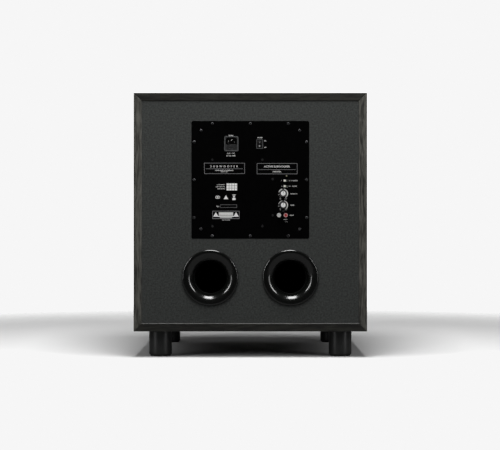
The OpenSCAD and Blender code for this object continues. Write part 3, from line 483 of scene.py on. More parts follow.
class Palette:
    """Every finish on the object."""

    # The side walls' ash wrap is about five times lighter than the top and bottom walls' wrap of the same
    # vinyl: painted light on the sides, painted shade on the top and bottom.
    SIDE_WRAP_LIT = AshWrap(
        "black_ash_upright", (0.1, 0.098, 0.086), (0.016, 0.0156, 0.0132), roughness=0.42,
        specular=0.4, depth=0.0002
    )
    LEVEL_WRAP_SHADED = AshWrap(
        "black_ash_across", (0.0205, 0.0202, 0.0165), (0.0044, 0.0043, 0.0034), roughness=0.45,
        specular=0.4,
        depth=0.0001, grain=Grain.ACROSS,
    )
    BAFFLE = Finish(
        "fine_grey_wrap", (0.0455, 0.0488, 0.0463), (0.0155, 0.0172, 0.0162), mottle=260.0,
        roughness=0.6, swing=0.05,
        specular=0.3, skin=1100.0, depth=0.00012,
    )
    FRONT_PAINT = Finish(
        "front_board_paint", (0.02, 0.02, 0.021), roughness=0.6, skin=1300.0, depth=0.00004
    )
    FIBREBOARD = BoardWood(
        "fibreboard", (0.42, 0.31, 0.2), (0.33, 0.235, 0.15), roughness=0.8, depth=0.00005
    )
    SOFTWOOD = BoardWood(
        "softwood", (0.62, 0.47, 0.29), (0.47, 0.33, 0.18), roughness=0.65, depth=0.00008
    )
    WADDING = Finish(
        "wadding", (0.78, 0.78, 0.75), (0.6, 0.6, 0.57), mottle=140.0, roughness=0.95, skin=900.0,
        depth=0.0012, sheen=0.6
    )
    FOOT = Finish(
        "foot_moulding", (0.028, 0.029, 0.0285), roughness=0.36, skin=1600.0, depth=0.00002
    )
    FOOT_RUBBER = Finish(
        "foot_rubber", (0.012, 0.012, 0.012), roughness=0.8, skin=700.0, depth=0.00005
    )
    PORT = Finish(
        "port_moulding", (0.0034, 0.0038, 0.0034), roughness=0.17, swing=0.02, specular=0.75,
        mottle=60.0, skin=300.0, depth=0.000002
    )
    TUBE = Finish("port_tube", (0.008, 0.008, 0.008), roughness=0.55)
    STEEL = Finish("plated_steel", (0.62, 0.62, 0.61), roughness=0.32, metallic=1.0, mottle=300.0)
    SHEET_STEEL = Finish(
        "sheet_steel", (0.5, 0.51, 0.52), (0.38, 0.39, 0.4), mottle=45.0, roughness=0.42,
        metallic=1.0, swing=0.15
    )
    BASKET = Finish(
        "basket_paint", (0.018, 0.018, 0.019), roughness=0.42, skin=900.0, depth=0.00005
    )
    RUBBER = Finish(
        "soft_rubber", (0.017, 0.017, 0.0175), roughness=0.62, swing=0.05, skin=900.0, depth=0.00002
    )
    FERRITE = Finish("ferrite", (0.06, 0.06, 0.064), roughness=0.6, skin=500.0, depth=0.00008)
    SPIDER = Finish(
        "spider_cloth", (0.62, 0.4, 0.13), (0.45, 0.27, 0.08), mottle=500.0, roughness=0.7,
        skin=1400.0, depth=0.0001,
    )
    CONE = Finish(
        "cone_pulp", (0.024, 0.024, 0.026), (0.013, 0.013, 0.014), mottle=210.0, roughness=0.72,
        skin=850.0, depth=0.00016,
    )
    CAP = Finish(
        "cap_pulp", (0.02, 0.02, 0.022), roughness=0.5, mottle=150.0, skin=1100.0, depth=0.00006
    )
    FORMER = Finish("coil_former", (0.62, 0.42, 0.16), roughness=0.35, metallic=0.6)
    # The second, darker colour is the painted shade in the grooves between turns.
    COPPER = Windings(
        "copper_wire", (0.72, 0.3, 0.11), (0.35, 0.12, 0.04), roughness=0.3, metallic=1.0,
        depth=0.0002,
    )
    TINSEL = Finish(
        "tinsel", (0.75, 0.42, 0.18), (0.4, 0.2, 0.08), mottle=900.0, roughness=0.35, metallic=1.0,
        depth=0.0002,
    )
    GRILLE_BOARD = Finish(
        "grille_board_paint", (0.016, 0.016, 0.016), roughness=0.6, skin=1000.0, depth=0.00006
    )
    # The second, darker colour is the painted shade in the hollows between threads.
    GRILLE_CLOTH = Weave(
        "grille_cloth", (0.03, 0.03, 0.031), (0.004, 0.004, 0.004), roughness=0.85, depth=0.0004,
        sheen=0.25,
    )
    PANEL = Finish(
        "panel_powder_coat", (0.0007, 0.0007, 0.00075), roughness=0.36, swing=0.04, specular=0.06,
        skin=1700.0, depth=0.00004
    )
    FOAM = Finish("foam_strip", (0.02, 0.02, 0.02), roughness=0.95, skin=1200.0, depth=0.0003)
    SCREW = Finish(
        "black_oxide", (0.1, 0.1, 0.104), roughness=0.28, metallic=1.0, mottle=700.0, depth=0.00001
    )
    DULL_SCREW = Finish(
        "dull_black_screw", (0.02, 0.02, 0.021), roughness=0.42, metallic=0.7, mottle=700.0
    )
    BOARD = TrackBoard(
        "circuit_board", (0.06, 0.3, 0.1), (0.02, 0.16, 0.05), roughness=0.35, depth=0.00004
    )
    BRASS = Finish("brass", (0.72, 0.54, 0.24), roughness=0.3, metallic=1.0, mottle=400.0)
    HEATSINK = Finish(
        "heatsink", (0.62, 0.63, 0.64), roughness=0.45, metallic=1.0, stretch=(1.0, 0.05, 1.0),
        depth=0.00006,
    )
    SLEEVE = Finish("capacitor_sleeve", (0.02, 0.045, 0.14), roughness=0.25, mottle=60.0, coat=0.3)
    CORE = Finish(
        "transformer_core", (0.16, 0.12, 0.07), (0.06, 0.05, 0.04), mottle=120.0, roughness=0.55
    )
    # A light grey ring for the front edges of the mains inlet and the power switch: a painted highlight.
    RIM_HIGHLIGHT = Finish("satin_rim", (0.085, 0.088, 0.09), roughness=0.5, mottle=300.0, depth=0.00001)
    SOCKET = Finish(
        "socket_moulding", (0.011, 0.0115, 0.012), roughness=0.42, specular=0.6, mottle=150.0
    )
    CONTACT = Finish(
        "nickel_contact", (0.8, 0.79, 0.76), roughness=0.22, metallic=1.0, mottle=500.0
    )
    FUSE_GLASS = Finish("fuse_glass", (0.85, 0.9, 0.92), roughness=0.08, coat=1.0, depth=0.000002)
    ROCKER = Finish(
        "rocker_moulding", (0.014, 0.014, 0.0145), roughness=0.22, depth=0.000006, mottle=60.0
    )
    CREAM = Finish("slider_moulding", (0.86, 0.84, 0.76), roughness=0.45, mottle=250.0)
    TINPLATE = Finish("tinplate", (0.6, 0.6, 0.58), roughness=0.4, metallic=1.0, mottle=200.0)
    KNOB = Finish(
        "knob_moulding", (0.012, 0.012, 0.0125), roughness=0.38, skin=1500.0, depth=0.00002
    )
    WHITE_JACK = Finish(
        "white_insulator", (0.86, 0.86, 0.84), roughness=0.32, mottle=200.0, depth=0.00001
    )
    RED_JACK = Finish(
        "red_insulator", (0.62, 0.018, 0.02), roughness=0.32, mottle=200.0, depth=0.00001
    )
    BRIGHT = Finish(
        "bright_plate", (0.9, 0.9, 0.89), roughness=0.25, metallic=0.35, mottle=500.0, depth=0.00001
    )
    LAMP = Finish(
        "lamp_lens", (0.2, 0.19, 0.12), roughness=0.12, coat=0.8, mottle=300.0, depth=0.000004
    )
    GREY_INK = Finish(
        "grey_ink", (0.3, 0.3, 0.31), roughness=0.6, swing=0.02, mottle=700.0, depth=0.000005
    )
    INK = Finish(
        "white_ink", (0.8, 0.8, 0.79), (0.7, 0.7, 0.69), mottle=900.0, roughness=0.55, depth=0.00001
    )
    RED_LEAD = Finish("red_lead", (0.45, 0.02, 0.02), roughness=0.45, mottle=200.0)
    BLACK_LEAD = Finish("black_lead", (0.02, 0.02, 0.02), roughness=0.45, mottle=200.0)


# ---------------------------------------------------------------- shapes


@dataclass
class Shell:
    """A mesh in the making: its points, its four-sided faces, and a UV for each point if it has
    one."""

    points: np.ndarray
    faces: np.ndarray
    uv: np.ndarray | None = None

    @staticmethod
    def joined(shells: Sequence["Shell"]) -> "Shell":
        """One shell of several, side by side."""
        starts = np.cumsum([0] + [len(s.points) for s in shells[:-1]])
        return Shell(
            np.concatenate([s.points for s in shells]),
            np.concatenate([s.faces + start for s, start in zip(shells, starts)]),
            None if shells[0].uv is None else np.concatenate([s.uv for s in shells]),
        )

    def at(self, places: np.ndarray) -> "Shell":
        """Copies of the shell, moved by each row of places."""
        count, size = len(places), len(self.points)
        points = (self.points[None] + places[:, None]).reshape(-1, 3)
        faces = (self.faces[None] + np.arange(count)[:, None, None] * size).reshape(-1, 4)
        return Shell(points, faces, None if self.uv is None else np.tile(self.uv, (count, 1)))


def surface(
    points: np.ndarray, wrap: bool = False, loop: bool = False, uv: np.ndarray | None = None
) -> Shell:
    """Faces for a grid of points: each joins a point, the next in its row, and the two in the row
    after.

    Args:
        points: The grid, rows by columns by 3.
        wrap: Whether the last column joins the first.
        loop: Whether the last row joins the first.
        uv: The grid's UVs, rows by columns by 2.

    Returns:
        The shell.
    """
    rows, columns = points.shape[:2]
    index = np.arange(rows * columns).reshape(rows, columns)
    index = np.concatenate([index, index[:, :1]], axis=1) if wrap else index
    index = np.concatenate([index, index[:1]], axis=0) if loop else index
    corners = [index[:-1, :-1], index[:-1, 1:], index[1:, 1:], index[1:, :-1]]
    faces = np.stack(corners, axis=-1).reshape(-1, 4)
    return Shell(points.reshape(-1, 3), faces, None if uv is None else uv.reshape(-1, 2))


def rounded(
    profile: Sequence[Sequence[float]], radius: float | Sequence[float], closed: bool = True,
    steps: int = 5,
) -> np.ndarray:
    """Rounds the corners of a line of points. Each becomes a curve that starts and ends the radius
    away from it along its two sides and is pulled towards the corner itself.

    Args:
        profile: The corners, n by 2.
        radius: How far from each corner the curve starts, for all or for each. Nought is sharp.
        closed: Whether the last corner joins the first. An open line's ends stay where they are.
        steps: Points on each curve.

    Returns:
        The rounded line, n * steps by 2.
    """
    corner = np.asarray(profile, float)
    size = np.broadcast_to(np.asarray(radius, float), len(corner)).copy()
    if not closed:
        size[[0, -1]] = 0.0
    back, ahead = np.roll(corner, 1, 0) - corner, np.roll(corner, -1, 0) - corner
    back_far, ahead_far = np.linalg.norm(back, axis=1), np.linalg.norm(ahead, axis=1)
    size = np.minimum(size, 0.49 * np.minimum(back_far, ahead_far))
    start = corner + back * (size / np.maximum(back_far, 1e-12))[:, None]
    end = corner + ahead * (size / np.maximum(ahead_far, 1e-12))[:, None]
    t = np.linspace(0.0, 1.0, steps)[None, :, None]
    curve = (1 - t) ** 2 * start[:, None] + 2 * t * (1 - t) * corner[:, None] + t**2 * end[:, None]
    return curve.reshape(-1, 2)


def arc(centre: Sequence[float], radius: float, turn: np.ndarray) -> np.ndarray:
    """Points on a circle at the given angles, n by 2."""
    return np.stack([centre[0] + radius * np.cos(turn), centre[1] + radius * np.sin(turn)], -1)


@dataclass(frozen=True)
class Face:
    """A flat face of the object with its own right, up and outward directions."""

    origin: Triple
    right: Triple
    up: Triple
    out: Triple

    def place(self, local: np.ndarray) -> np.ndarray:
        """Turns local right, up and outward distances in metres into points of the object's
        frame."""
        return np.asarray(self.origin) + local @ np.array([self.right, self.up, self.out])

    def shift(self, right: float, up: float, out: float = 0.0) -> "Face":
        """The same face with its origin moved by local distances in metres."""
        moved = self.place(np.array([[right, up, out]]))[0]
        return Face(tuple(moved), self.right, self.up, self.out)

    @staticmethod
    def back(x: float, y: float, z: float) -> "Face":
        """A face that looks backwards, as seen from behind."""
        return Face((x, y, z), (-1.0, 0.0, 0.0), (0.0, 0.0, 1.0), (0.0, 1.0, 0.0))

    @staticmethod
    def front(x: float, y: float, z: float) -> "Face":
        """A face that looks forwards, as seen from the front."""
        return Face((x, y, z), (1.0, 0.0, 0.0), (0.0, 0.0, 1.0), (0.0, -1.0, 0.0))

    @staticmethod
    def level(x: float, y: float, z: float) -> "Face":
        """A face that looks up, as seen from above."""
        return Face((x, y, z), (1.0, 0.0, 0.0), (0.0, 1.0, 0.0), (0.0, 0.0, 1.0))


def lathe(profile: np.ndarray, face: Face, segments: int = 96, closed: bool = True) -> Shell:
    """Turns a line of (radius, height) points about the face's outward direction.

    Args:
        profile: The line, n by 2, in metres.
        face: Where the axis stands.
        segments: Steps of a full turn.
        closed: Whether the line's end joins its start, as on a ring.

    Returns:
        The shell.
    """
    turn = np.arange(segments) * (2.0 * math.pi / segments)
    r, h = profile[:, :1], profile[:, 1:]
    local = np.stack(
        [r * np.cos(turn), r * np.sin(turn), np.broadcast_to(h, (len(h), segments))], axis=-1
    )
    return surface(face.place(local), wrap=True, loop=closed)


def capped(shell: Shell, around: int) -> Shell:
    """Closes a tube whose rings have four points, with one face at each end."""
    last = len(shell.points) - around
    ends = np.array([[3, 2, 1, 0], [last, last + 1, last + 2, last + 3]])
    return Shell(shell.points, np.concatenate([shell.faces, ends]), shell.uv)


def outline(
    face: Face, size: tuple[float, float], stroke: float, low: float, high: float,
    corner: float | None = None
) -> Shell:
    """A rounded rectangle's outline with a square section, about the face's origin. The inner line
    has the same corner middles as the outer one, so the stroke is even all round."""
    round_to = corner or stroke * 1.02
    quarter = np.linspace(0.0, math.pi / 2, 8)
    turn = np.concatenate([quarter + i * math.pi / 2 for i in range(4)])
    way = np.stack([np.cos(turn), np.sin(turn)], -1)
    signs = np.repeat(np.array([[1, 1], [-1, 1], [-1, -1], [1, -1]]), 8, axis=0)
    heart = signs * (np.array(size) / 2 - round_to)
    radii = np.array([round_to - stroke, round_to, round_to, round_to - stroke])
    flat = heart[None] + radii[:, None, None] * way[None]
    h = np.broadcast_to(np.array([low, low, high, high])[:, None, None], (4, len(turn), 1))
    return surface(face.place(np.concatenate([flat, h], -1)), wrap=True, loop=True)


def boxes(rows: Sequence[Sequence[float]], face: Face, low: float, high: float) -> Shell:
    """Thin blocks on a face.

    Args:
        rows: For each, its middle right and up, width, height, and turn in degrees.
        face: The face.
        low: The blocks' backs, outwards from the face.
        high: The blocks' fronts.

    Returns:
        The shell of all of them.
    """
    table = np.asarray(rows, float).reshape(-1, 5)
    x, y, w, h = (table[:, i, None] for i in range(4))
    turn = np.radians(table[:, 4, None])
    sx = np.array([-1, 1, 1, -1, -1, 1, 1, -1]) * 0.5 * w
    sy = np.array([-1, -1, 1, 1, -1, -1, 1, 1]) * 0.5 * h
    out = np.broadcast_to(np.array([low] * 4 + [high] * 4), sx.shape)
    local = np.stack(
        [x + sx * np.cos(turn) - sy * np.sin(turn), y + sx * np.sin(turn) + sy * np.cos(turn), out],
        -1,
    )
    sides = np.array(
        [[3, 2, 1, 0], [4, 5, 6, 7], [0, 1, 5, 4], [1, 2, 6, 5], [2, 3, 7, 6], [3, 0, 4, 7]]
    )
    faces = (sides[None] + np.arange(len(table))[:, None, None] * 8).reshape(-1, 4)
    return Shell(face.place(local).reshape(-1, 3), faces)


def pillow(
    half: np.ndarray, middle: np.ndarray, power: float, steps: int, lump: float, seed: int
) -> Shell:
    """A soft block. Points on a cube are pulled in until the sum of their coordinates, each raised
    to the power, is one, which rounds every edge. Broad waves then make it uneven.

    Args:
        half: Half its size.
        middle: Its middle.
        power: How square it is.
        steps: Steps along an edge.
        lump: How far the waves move a point.
        seed: Picks the waves.

    Returns:
        The shell, with its six sides still apart.
    """
    line = np.tan(np.linspace(-1.0, 1.0, steps + 1) * math.pi / 4)
    a, b = np.meshgrid(line, line, indexing="ij")
    one = np.ones_like(a)
    sides = [(one, a, b), (-one, b, a), (b, one, a), (a, -one, b), (a, b, one), (b, a, -one)]
    shells = []
    rng = np.random.default_rng(seed)
    waves, phases = rng.normal(0, 14.0, (5, 3)), rng.uniform(0, 2 * math.pi, 5)
    for side in sides:
        cube = np.stack(side, axis=-1)
        ball = cube / (np.abs(cube) ** power).sum(-1, keepdims=True) ** (1.0 / power)
        spot = ball * half
        swell = np.sin(spot @ waves.T + phases).mean(-1, keepdims=True)
        outward = ball / np.linalg.norm(ball, axis=-1, keepdims=True)
        shells.append(surface(middle + spot + outward * (swell - 0.8) * lump))
    return Shell.joined(shells)


@dataclass(frozen=True)
class Home:
    """Where a piece belongs: the body it rides on, its slot, and the CAD nodes that it stands
    for."""

    body: str = CABINET
    slot: str | None = None
    nodes: tuple[str, ...] = ()

    def settle(self, piece: bpy.types.Object) -> None:
        """Rides the piece on its body, unless it already bends between two, and hides the CAD nodes that it
        stands for.
        """
        if "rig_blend" not in piece:
            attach(piece, self.body)
        if self.nodes:
            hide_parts(*self.nodes)


def tidy_mesh(mesh: bpy.types.Mesh, weld: float, outward: bool, crease: float) -> None:
    """Welds seams and poles, turns faces outwards, and smooths all edges but the sharp ones.

    Args:
        mesh: The mesh.
        weld: Points nearer than this become one.
        outward: Whether to work out the normals again, which needs a closed shell.
        crease: The angle in degrees from which an edge stays sharp.
    """
    work = bmesh.new()
    work.from_mesh(mesh)
    bmesh.ops.remove_doubles(work, verts=work.verts, dist=weld)
    bmesh.ops.dissolve_degenerate(work, edges=work.edges, dist=weld * 0.1)
    if outward:
        bmesh.ops.recalc_face_normals(work, faces=work.faces)
    work.to_mesh(mesh)
    work.free()
    mesh.shade_smooth()
    mesh.set_sharp_from_angle(angle=math.radians(crease))
    mesh.update()


def make(
    name: str,
    shell: Shell,
    finish: Finish,
    home: Home,
    crease: float = 35.0,
    outward: bool = True,
    weld: float = 2e-6,
) -> bpy.types.Object:
    """Makes a piece of a shell.

    Args:
        name: The piece's name.
        shell: Its points and faces.
        finish: Its finish.
        home: Its body, slot and nodes.
        crease: The angle in degrees from which an edge stays sharp.
        outward: Whether the shell is closed, so that its normals can be worked out.
        weld: Points nearer than this become one.

    Returns:
        The piece.
    """
    mesh = bpy.data.meshes.new(name)
    mesh.from_pydata(shell.points, [], shell.faces)
    if shell.uv is not None:
        layer = mesh.uv_layers.new(name="UVMap")
        corner = np.empty(len(mesh.loops), np.int32)
        mesh.loops.foreach_get("vertex_index", corner)
        layer.data.foreach_set("uv", shell.uv[corner].astype(np.float32).ravel())
    tidy_mesh(mesh, weld, outward, crease)
    mesh.materials.append(finish.material())
    piece = linked(name, mesh)
    home.settle(piece)
    log.info("%s: %d faces on %s", name, len(mesh.polygons), home.body)
    return piece


def sharpened(
    node: str, name: str, finish: Finish, home: Home, edge: float = 0.0, segments: int = 2,
    crease: float = 35.0
) -> bpy.types.Object:
    """A copy of a CAD node with its triangles merged and a small round along each sharp edge.

    Args:
        node: The CAD node that the piece is copied from and stands for.
        name: The piece's name.
        finish: Its finish.
        home: Its body and slot. The node is added to what it stands for.
        edge: The round's size. Nought leaves the edges sharp.
        segments: Steps round it.
        crease: The angle in degrees from which an edge counts as sharp.

    Returns:
        The piece.
    """
    mesh = FRAME["nodes"][node].data.copy()
    mesh.name = name
    mesh.materials.clear()
    if "custom_normal" in mesh.attributes:
        mesh.attributes.remove(mesh.attributes["custom_normal"])
    work = bmesh.new()
    work.from_mesh(mesh)
    bmesh.ops.remove_doubles(work, verts=work.verts, dist=1e-6)
    bmesh.ops.dissolve_limit(
        work, angle_limit=math.radians(0.3), verts=work.verts, edges=work.edges
    )
    if edge > 0.0:
        sharp = [
            e for e in work.edges if e.is_manifold and e.calc_face_angle() > math.radians(crease)
        ]
        bmesh.ops.bevel(
            work, geom=sharp, offset=edge, segments=segments, profile=0.5, affect="EDGES",
            clamp_overlap=True
        )
    work.to_mesh(mesh)
    work.free()
    mesh.shade_smooth()
    mesh.set_sharp_from_angle(angle=math.radians(crease))
    mesh.materials.append(finish.material())
    piece = linked(name, mesh)
    level = piece.modifiers.new("flat_faces", "WEIGHTED_NORMAL")
    level.keep_sharp, level.weight = True, 80
    Home(home.body, home.slot, (*home.nodes, node)).settle(piece)
    log.info("%s: %d faces from %s", name, len(mesh.polygons), node)
    return piece


def linked(name: str, data: Any) -> bpy.types.Object:
    """A new object in the scene, from a mesh, a light, a camera or a line of type."""
    made = bpy.data.objects.new(name, data)
    bpy.context.scene.collection.objects.link(made)
    return made


def coordinates(mesh: bpy.types.Mesh) -> np.ndarray:
    """The places of a mesh's points, n by 3."""
    flat = np.empty(len(mesh.vertices) * 3, np.float32)
    mesh.vertices.foreach_get("co", flat)
    return flat.reshape(-1, 3)


def span(node: str) -> tuple[np.ndarray, np.ndarray]:
    """The low and the high corner of a CAD node's box."""
    low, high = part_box(node)
    return np.array(low), np.array(high)


def middle(node: str) -> np.ndarray:
    """The middle of a CAD node's box."""
    low, high = span(node)
    return (low + high) / 2


def radial_blend(
    piece: bpy.types.Object, inner: float, outer: float, axis: Sequence[float]
) -> None:
    """Lets a round soft piece follow the cone inside and the cabinet outside. A point's share of
    the cone's movement falls smoothly from one at the inner radius to nought at the outer.

    Args:
        piece: The piece.
        inner: The radius that moves with the cone.
        outer: The radius that stays.
        axis: The x and z of the woofer's axis.
    """
    x, z = axis
    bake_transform(piece, CABINET, MOVER, start=(x + outer, 0.0, z), end=(x + inner, 0.0, z))
    points = coordinates(piece.data)
    far = np.hypot(points[:, 0] - x, points[:, 2] - z)
    share = np.clip((outer - far) / (outer - inner), 0.0, 1.0)
    weight = share * share * (3.0 - 2.0 * share)
    piece.data.attributes["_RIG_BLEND"].data.foreach_set("value", weight.astype(np.float32))


# ---------------------------------------------------------------- cabinet


@dataclass
class Cabinet:
    """Wrapped board walls, the two baffles, and the bracing inside."""

    fold: float = 0.9 * MM
    inside_edge: float = 0.5 * MM

    def build(self) -> None:
        """Makes the boards."""
        wrap = Home(slot="walls")
        # The side walls take the lighter copy of the wrap and the top and bottom the darker one: painted
        # light and painted shade.
        for node in ("left_side_panel", "right_side_panel"):
            sharpened(node, node.replace("panel", "wall"), Palette.SIDE_WRAP_LIT, wrap, self.fold, 3)
        for node in ("top_panel", "bottom_panel"):
            sharpened(node, node.replace("panel", "wall"), Palette.LEVEL_WRAP_SHADED, wrap, self.fold, 3)
        sharpened("rear_baffle", "rear_board", Palette.BAFFLE, Home(slot="baffle_wrap"))
        sharpened("front_baffle", "front_board", Palette.FRONT_PAINT, Home(slot="front_board"))
        sharpened(
            "window_brace", "brace_board", Palette.FIBREBOARD, Home(slot="raw_board"),
            self.inside_edge,
        )
        sharpened(
            "glue_battens", "battens", Palette.SOFTWOOD, Home(slot="batten_wood"), self.inside_edge
        )


@dataclass
class Lining:
    """Soft wadding on the side walls and under the top, in front of the brace and behind it."""

    thick: float = 25 * MM
    gap: float = 6 * MM
    inset: float = 10 * MM
    drop: float = 15 * MM
    fill: float = 0.4
    lump: float = 2.2 * MM
    power: float = 9.0
    steps: int = 30

    def build(self) -> None:
        """Makes the six pads from the boxes of the lining and of the brace."""
        low, high = span("damping_pads")
        brace_low, brace_high = span("window_brace")
        spans = [(low[1], brace_low[1] - self.gap), (brace_high[1] + self.gap, high[1])]
        side_top = high[2] - self.thick - self.drop
        count = 0
        for place, (start, end) in zip(("front", "rear"), spans):
            lower, upper = [low[0], start, low[2]], [high[0], end, side_top]
            blocks = {
                "left": (lower, [low[0] + self.thick, end, side_top]),
                "right": ([high[0] - self.thick, start, low[2]], upper),
                "top": (
                    [low[0] + self.inset, start, high[2] - self.thick],
                    [high[0] - self.inset, end, high[2]],
                ),
            }
            for side, (a, b) in blocks.items():
                corner, far = np.array(a), np.array(b)
                shell = pillow(
                    (far - corner) / 2, (far + corner) / 2, self.power, self.steps, self.lump,
                    SEED + count,
                )
                home = Home(slot="wadding", nodes=("damping_pads",))
                pad = make(
                    f"{place}_{side}_pad", shell, Palette.WADDING, home, crease=80.0, weld=1e-5
                )
                count += 1


@dataclass
class Feet:
    """Four turned posts with a rubber pad under each."""

    radius: float = 25 * MM
    pad: float = 3 * MM
    well: float = 9 * MM
    bolt_hole: float = 4.5 * MM
    head_hole: float = 6.9 * MM
    bevel: float = 1.5 * MM
    sole_inset: float = 2.5 * MM

    def build(self) -> None:
        """Makes the posts, pads and bolts at the corners of the posts' box."""
        low, high = span("foot_posts")
        xs, ys = ((low[i] + self.radius, high[i] - self.radius) for i in (0, 1))
        spots = np.array([[x, y, 0.0] for x in xs for y in ys])
        r, base, top = self.radius, self.pad, high[2]
        post = rounded(
            [(self.head_hole, base), (r - self.bevel, base), (r, base + self.bevel), (r, top),
             (self.bolt_hole, top), (self.bolt_hole, base + self.well),
             (self.head_hole, base + self.well)],
            [0, 0.5 * MM, 0.7 * MM, 0.6 * MM, 0, 0, 0],
        )
        ground = Face.level(0.0, 0.0, 0.0)
        make(
            "foot_columns", lathe(post, ground, 72).at(spots), Palette.FOOT,
            Home(slot="foot_plastic", nodes=("foot_posts",)),
        )
        sole = rounded(
            [(0, 0), (r - self.sole_inset, 0), (r - self.sole_inset, base), (0, base)],
            [0, 0.8 * MM, 0.2 * MM, 0], closed=False,
        )
        home = Home(slot="foot_rubber", nodes=("foot_pads",))
        make(
            "foot_soles", lathe(sole, ground, 72, closed=False).at(spots), Palette.FOOT_RUBBER, home
        )
        sharpened("foot_fixings", "foot_bolts", Palette.STEEL, Home(slot="steel"), 0.2 * MM)


@dataclass
class Ports:
    """Two moulded flares in the back, their tubes, and the trumpet collars inside."""

    rim: float = 61 * MM
    body: float = 52 * MM
    bore: float = 35 * MM
    wall: float = 2.5 * MM
    depth: float = 16 * MM
    proud: float = 4 * MM
    land: float = 5 * MM
    socket: float = 18 * MM
    roll: float = 3.6 * MM
    body_depth: float = 18 * MM
    sleeve: float = 3 * MM
    sleeve_grip: float = 14 * MM
    fit: float = 0.05 * MM
    collar: float = 12 * MM

    def flare(self) -> np.ndarray:
        """The flare's profile. Its mouth is a quarter of an ellipse from the bore out to the rim's
        land, and the land rolls over the rim's edge."""
        turn = np.linspace(0.0, math.pi / 2, 40)
        mouth = np.stack(
            [self.bore + (self.rim - self.land - self.bore) * (1 - np.cos(turn)),
             -self.depth + (self.depth + self.proud) * np.sin(turn)],
            axis=-1,
        )
        tube, end = self.bore + self.wall, -self.depth - self.socket
        middle_line = (self.rim - self.roll, self.proud - self.roll)
        lip = arc(middle_line, self.roll, np.linspace(math.pi / 2, 0.0, 14)[1:])
        back = np.array([
            (self.rim, 0.0), (self.body, 0.0), (self.body, -self.body_depth),
            (tube + self.sleeve, -self.body_depth), (tube + self.sleeve, end),
            (tube + self.fit, end), (tube + self.fit, -self.depth),
        ])
        return np.concatenate([mouth, lip, back])

    def build(self) -> None:
        """Makes both ports at their nodes' middles."""
        face_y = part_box("rear_baffle")[1][1]
        tube_low, tube_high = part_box("port_tubes")
        tubes, collars = [], []
        for side in ("left", "right"):
            spot = middle(f"{side}_port_flare")
            mouth = Face.back(spot[0], face_y, spot[2])
            home = Home(slot="port_plastic", nodes=(f"{side}_port_flare",))
            make(f"{side}_flare", lathe(self.flare(), mouth, 160), Palette.PORT, home, crease=50.0)
            far, near = tube_low[1] - face_y, tube_high[1] - face_y
            r0, r1 = self.bore, self.bore + self.wall
            tubes.append(lathe(np.array([(r0, near), (r0, far), (r1, far), (r1, near)]), mouth, 96))
            bend = (r0 + self.collar, far)
            outer = arc(bend, self.collar, np.linspace(math.pi, 1.5 * math.pi, 14))
            way_back = np.linspace(1.5 * math.pi, 1.25 * math.pi, 8)
            inner = arc(bend, self.collar - self.wall, way_back)
            grip = far + self.sleeve_grip
            top = np.array([(r1 + self.sleeve, grip), (r1 + self.fit, grip), (r1 + self.fit, far)])
            collars.append(lathe(np.concatenate([outer, inner, top]), mouth, 96))
        make(
            "port_pipes", Shell.joined(tubes), Palette.TUBE,
            Home(slot="tube_plastic", nodes=("port_tubes",)),
        )
        home = Home(slot="port_plastic", nodes=("inner_port_flares",))
        make("port_collars", Shell.joined(collars), Palette.PORT, home, crease=50.0)


# ---------------------------------------------------------------- woofer and grille


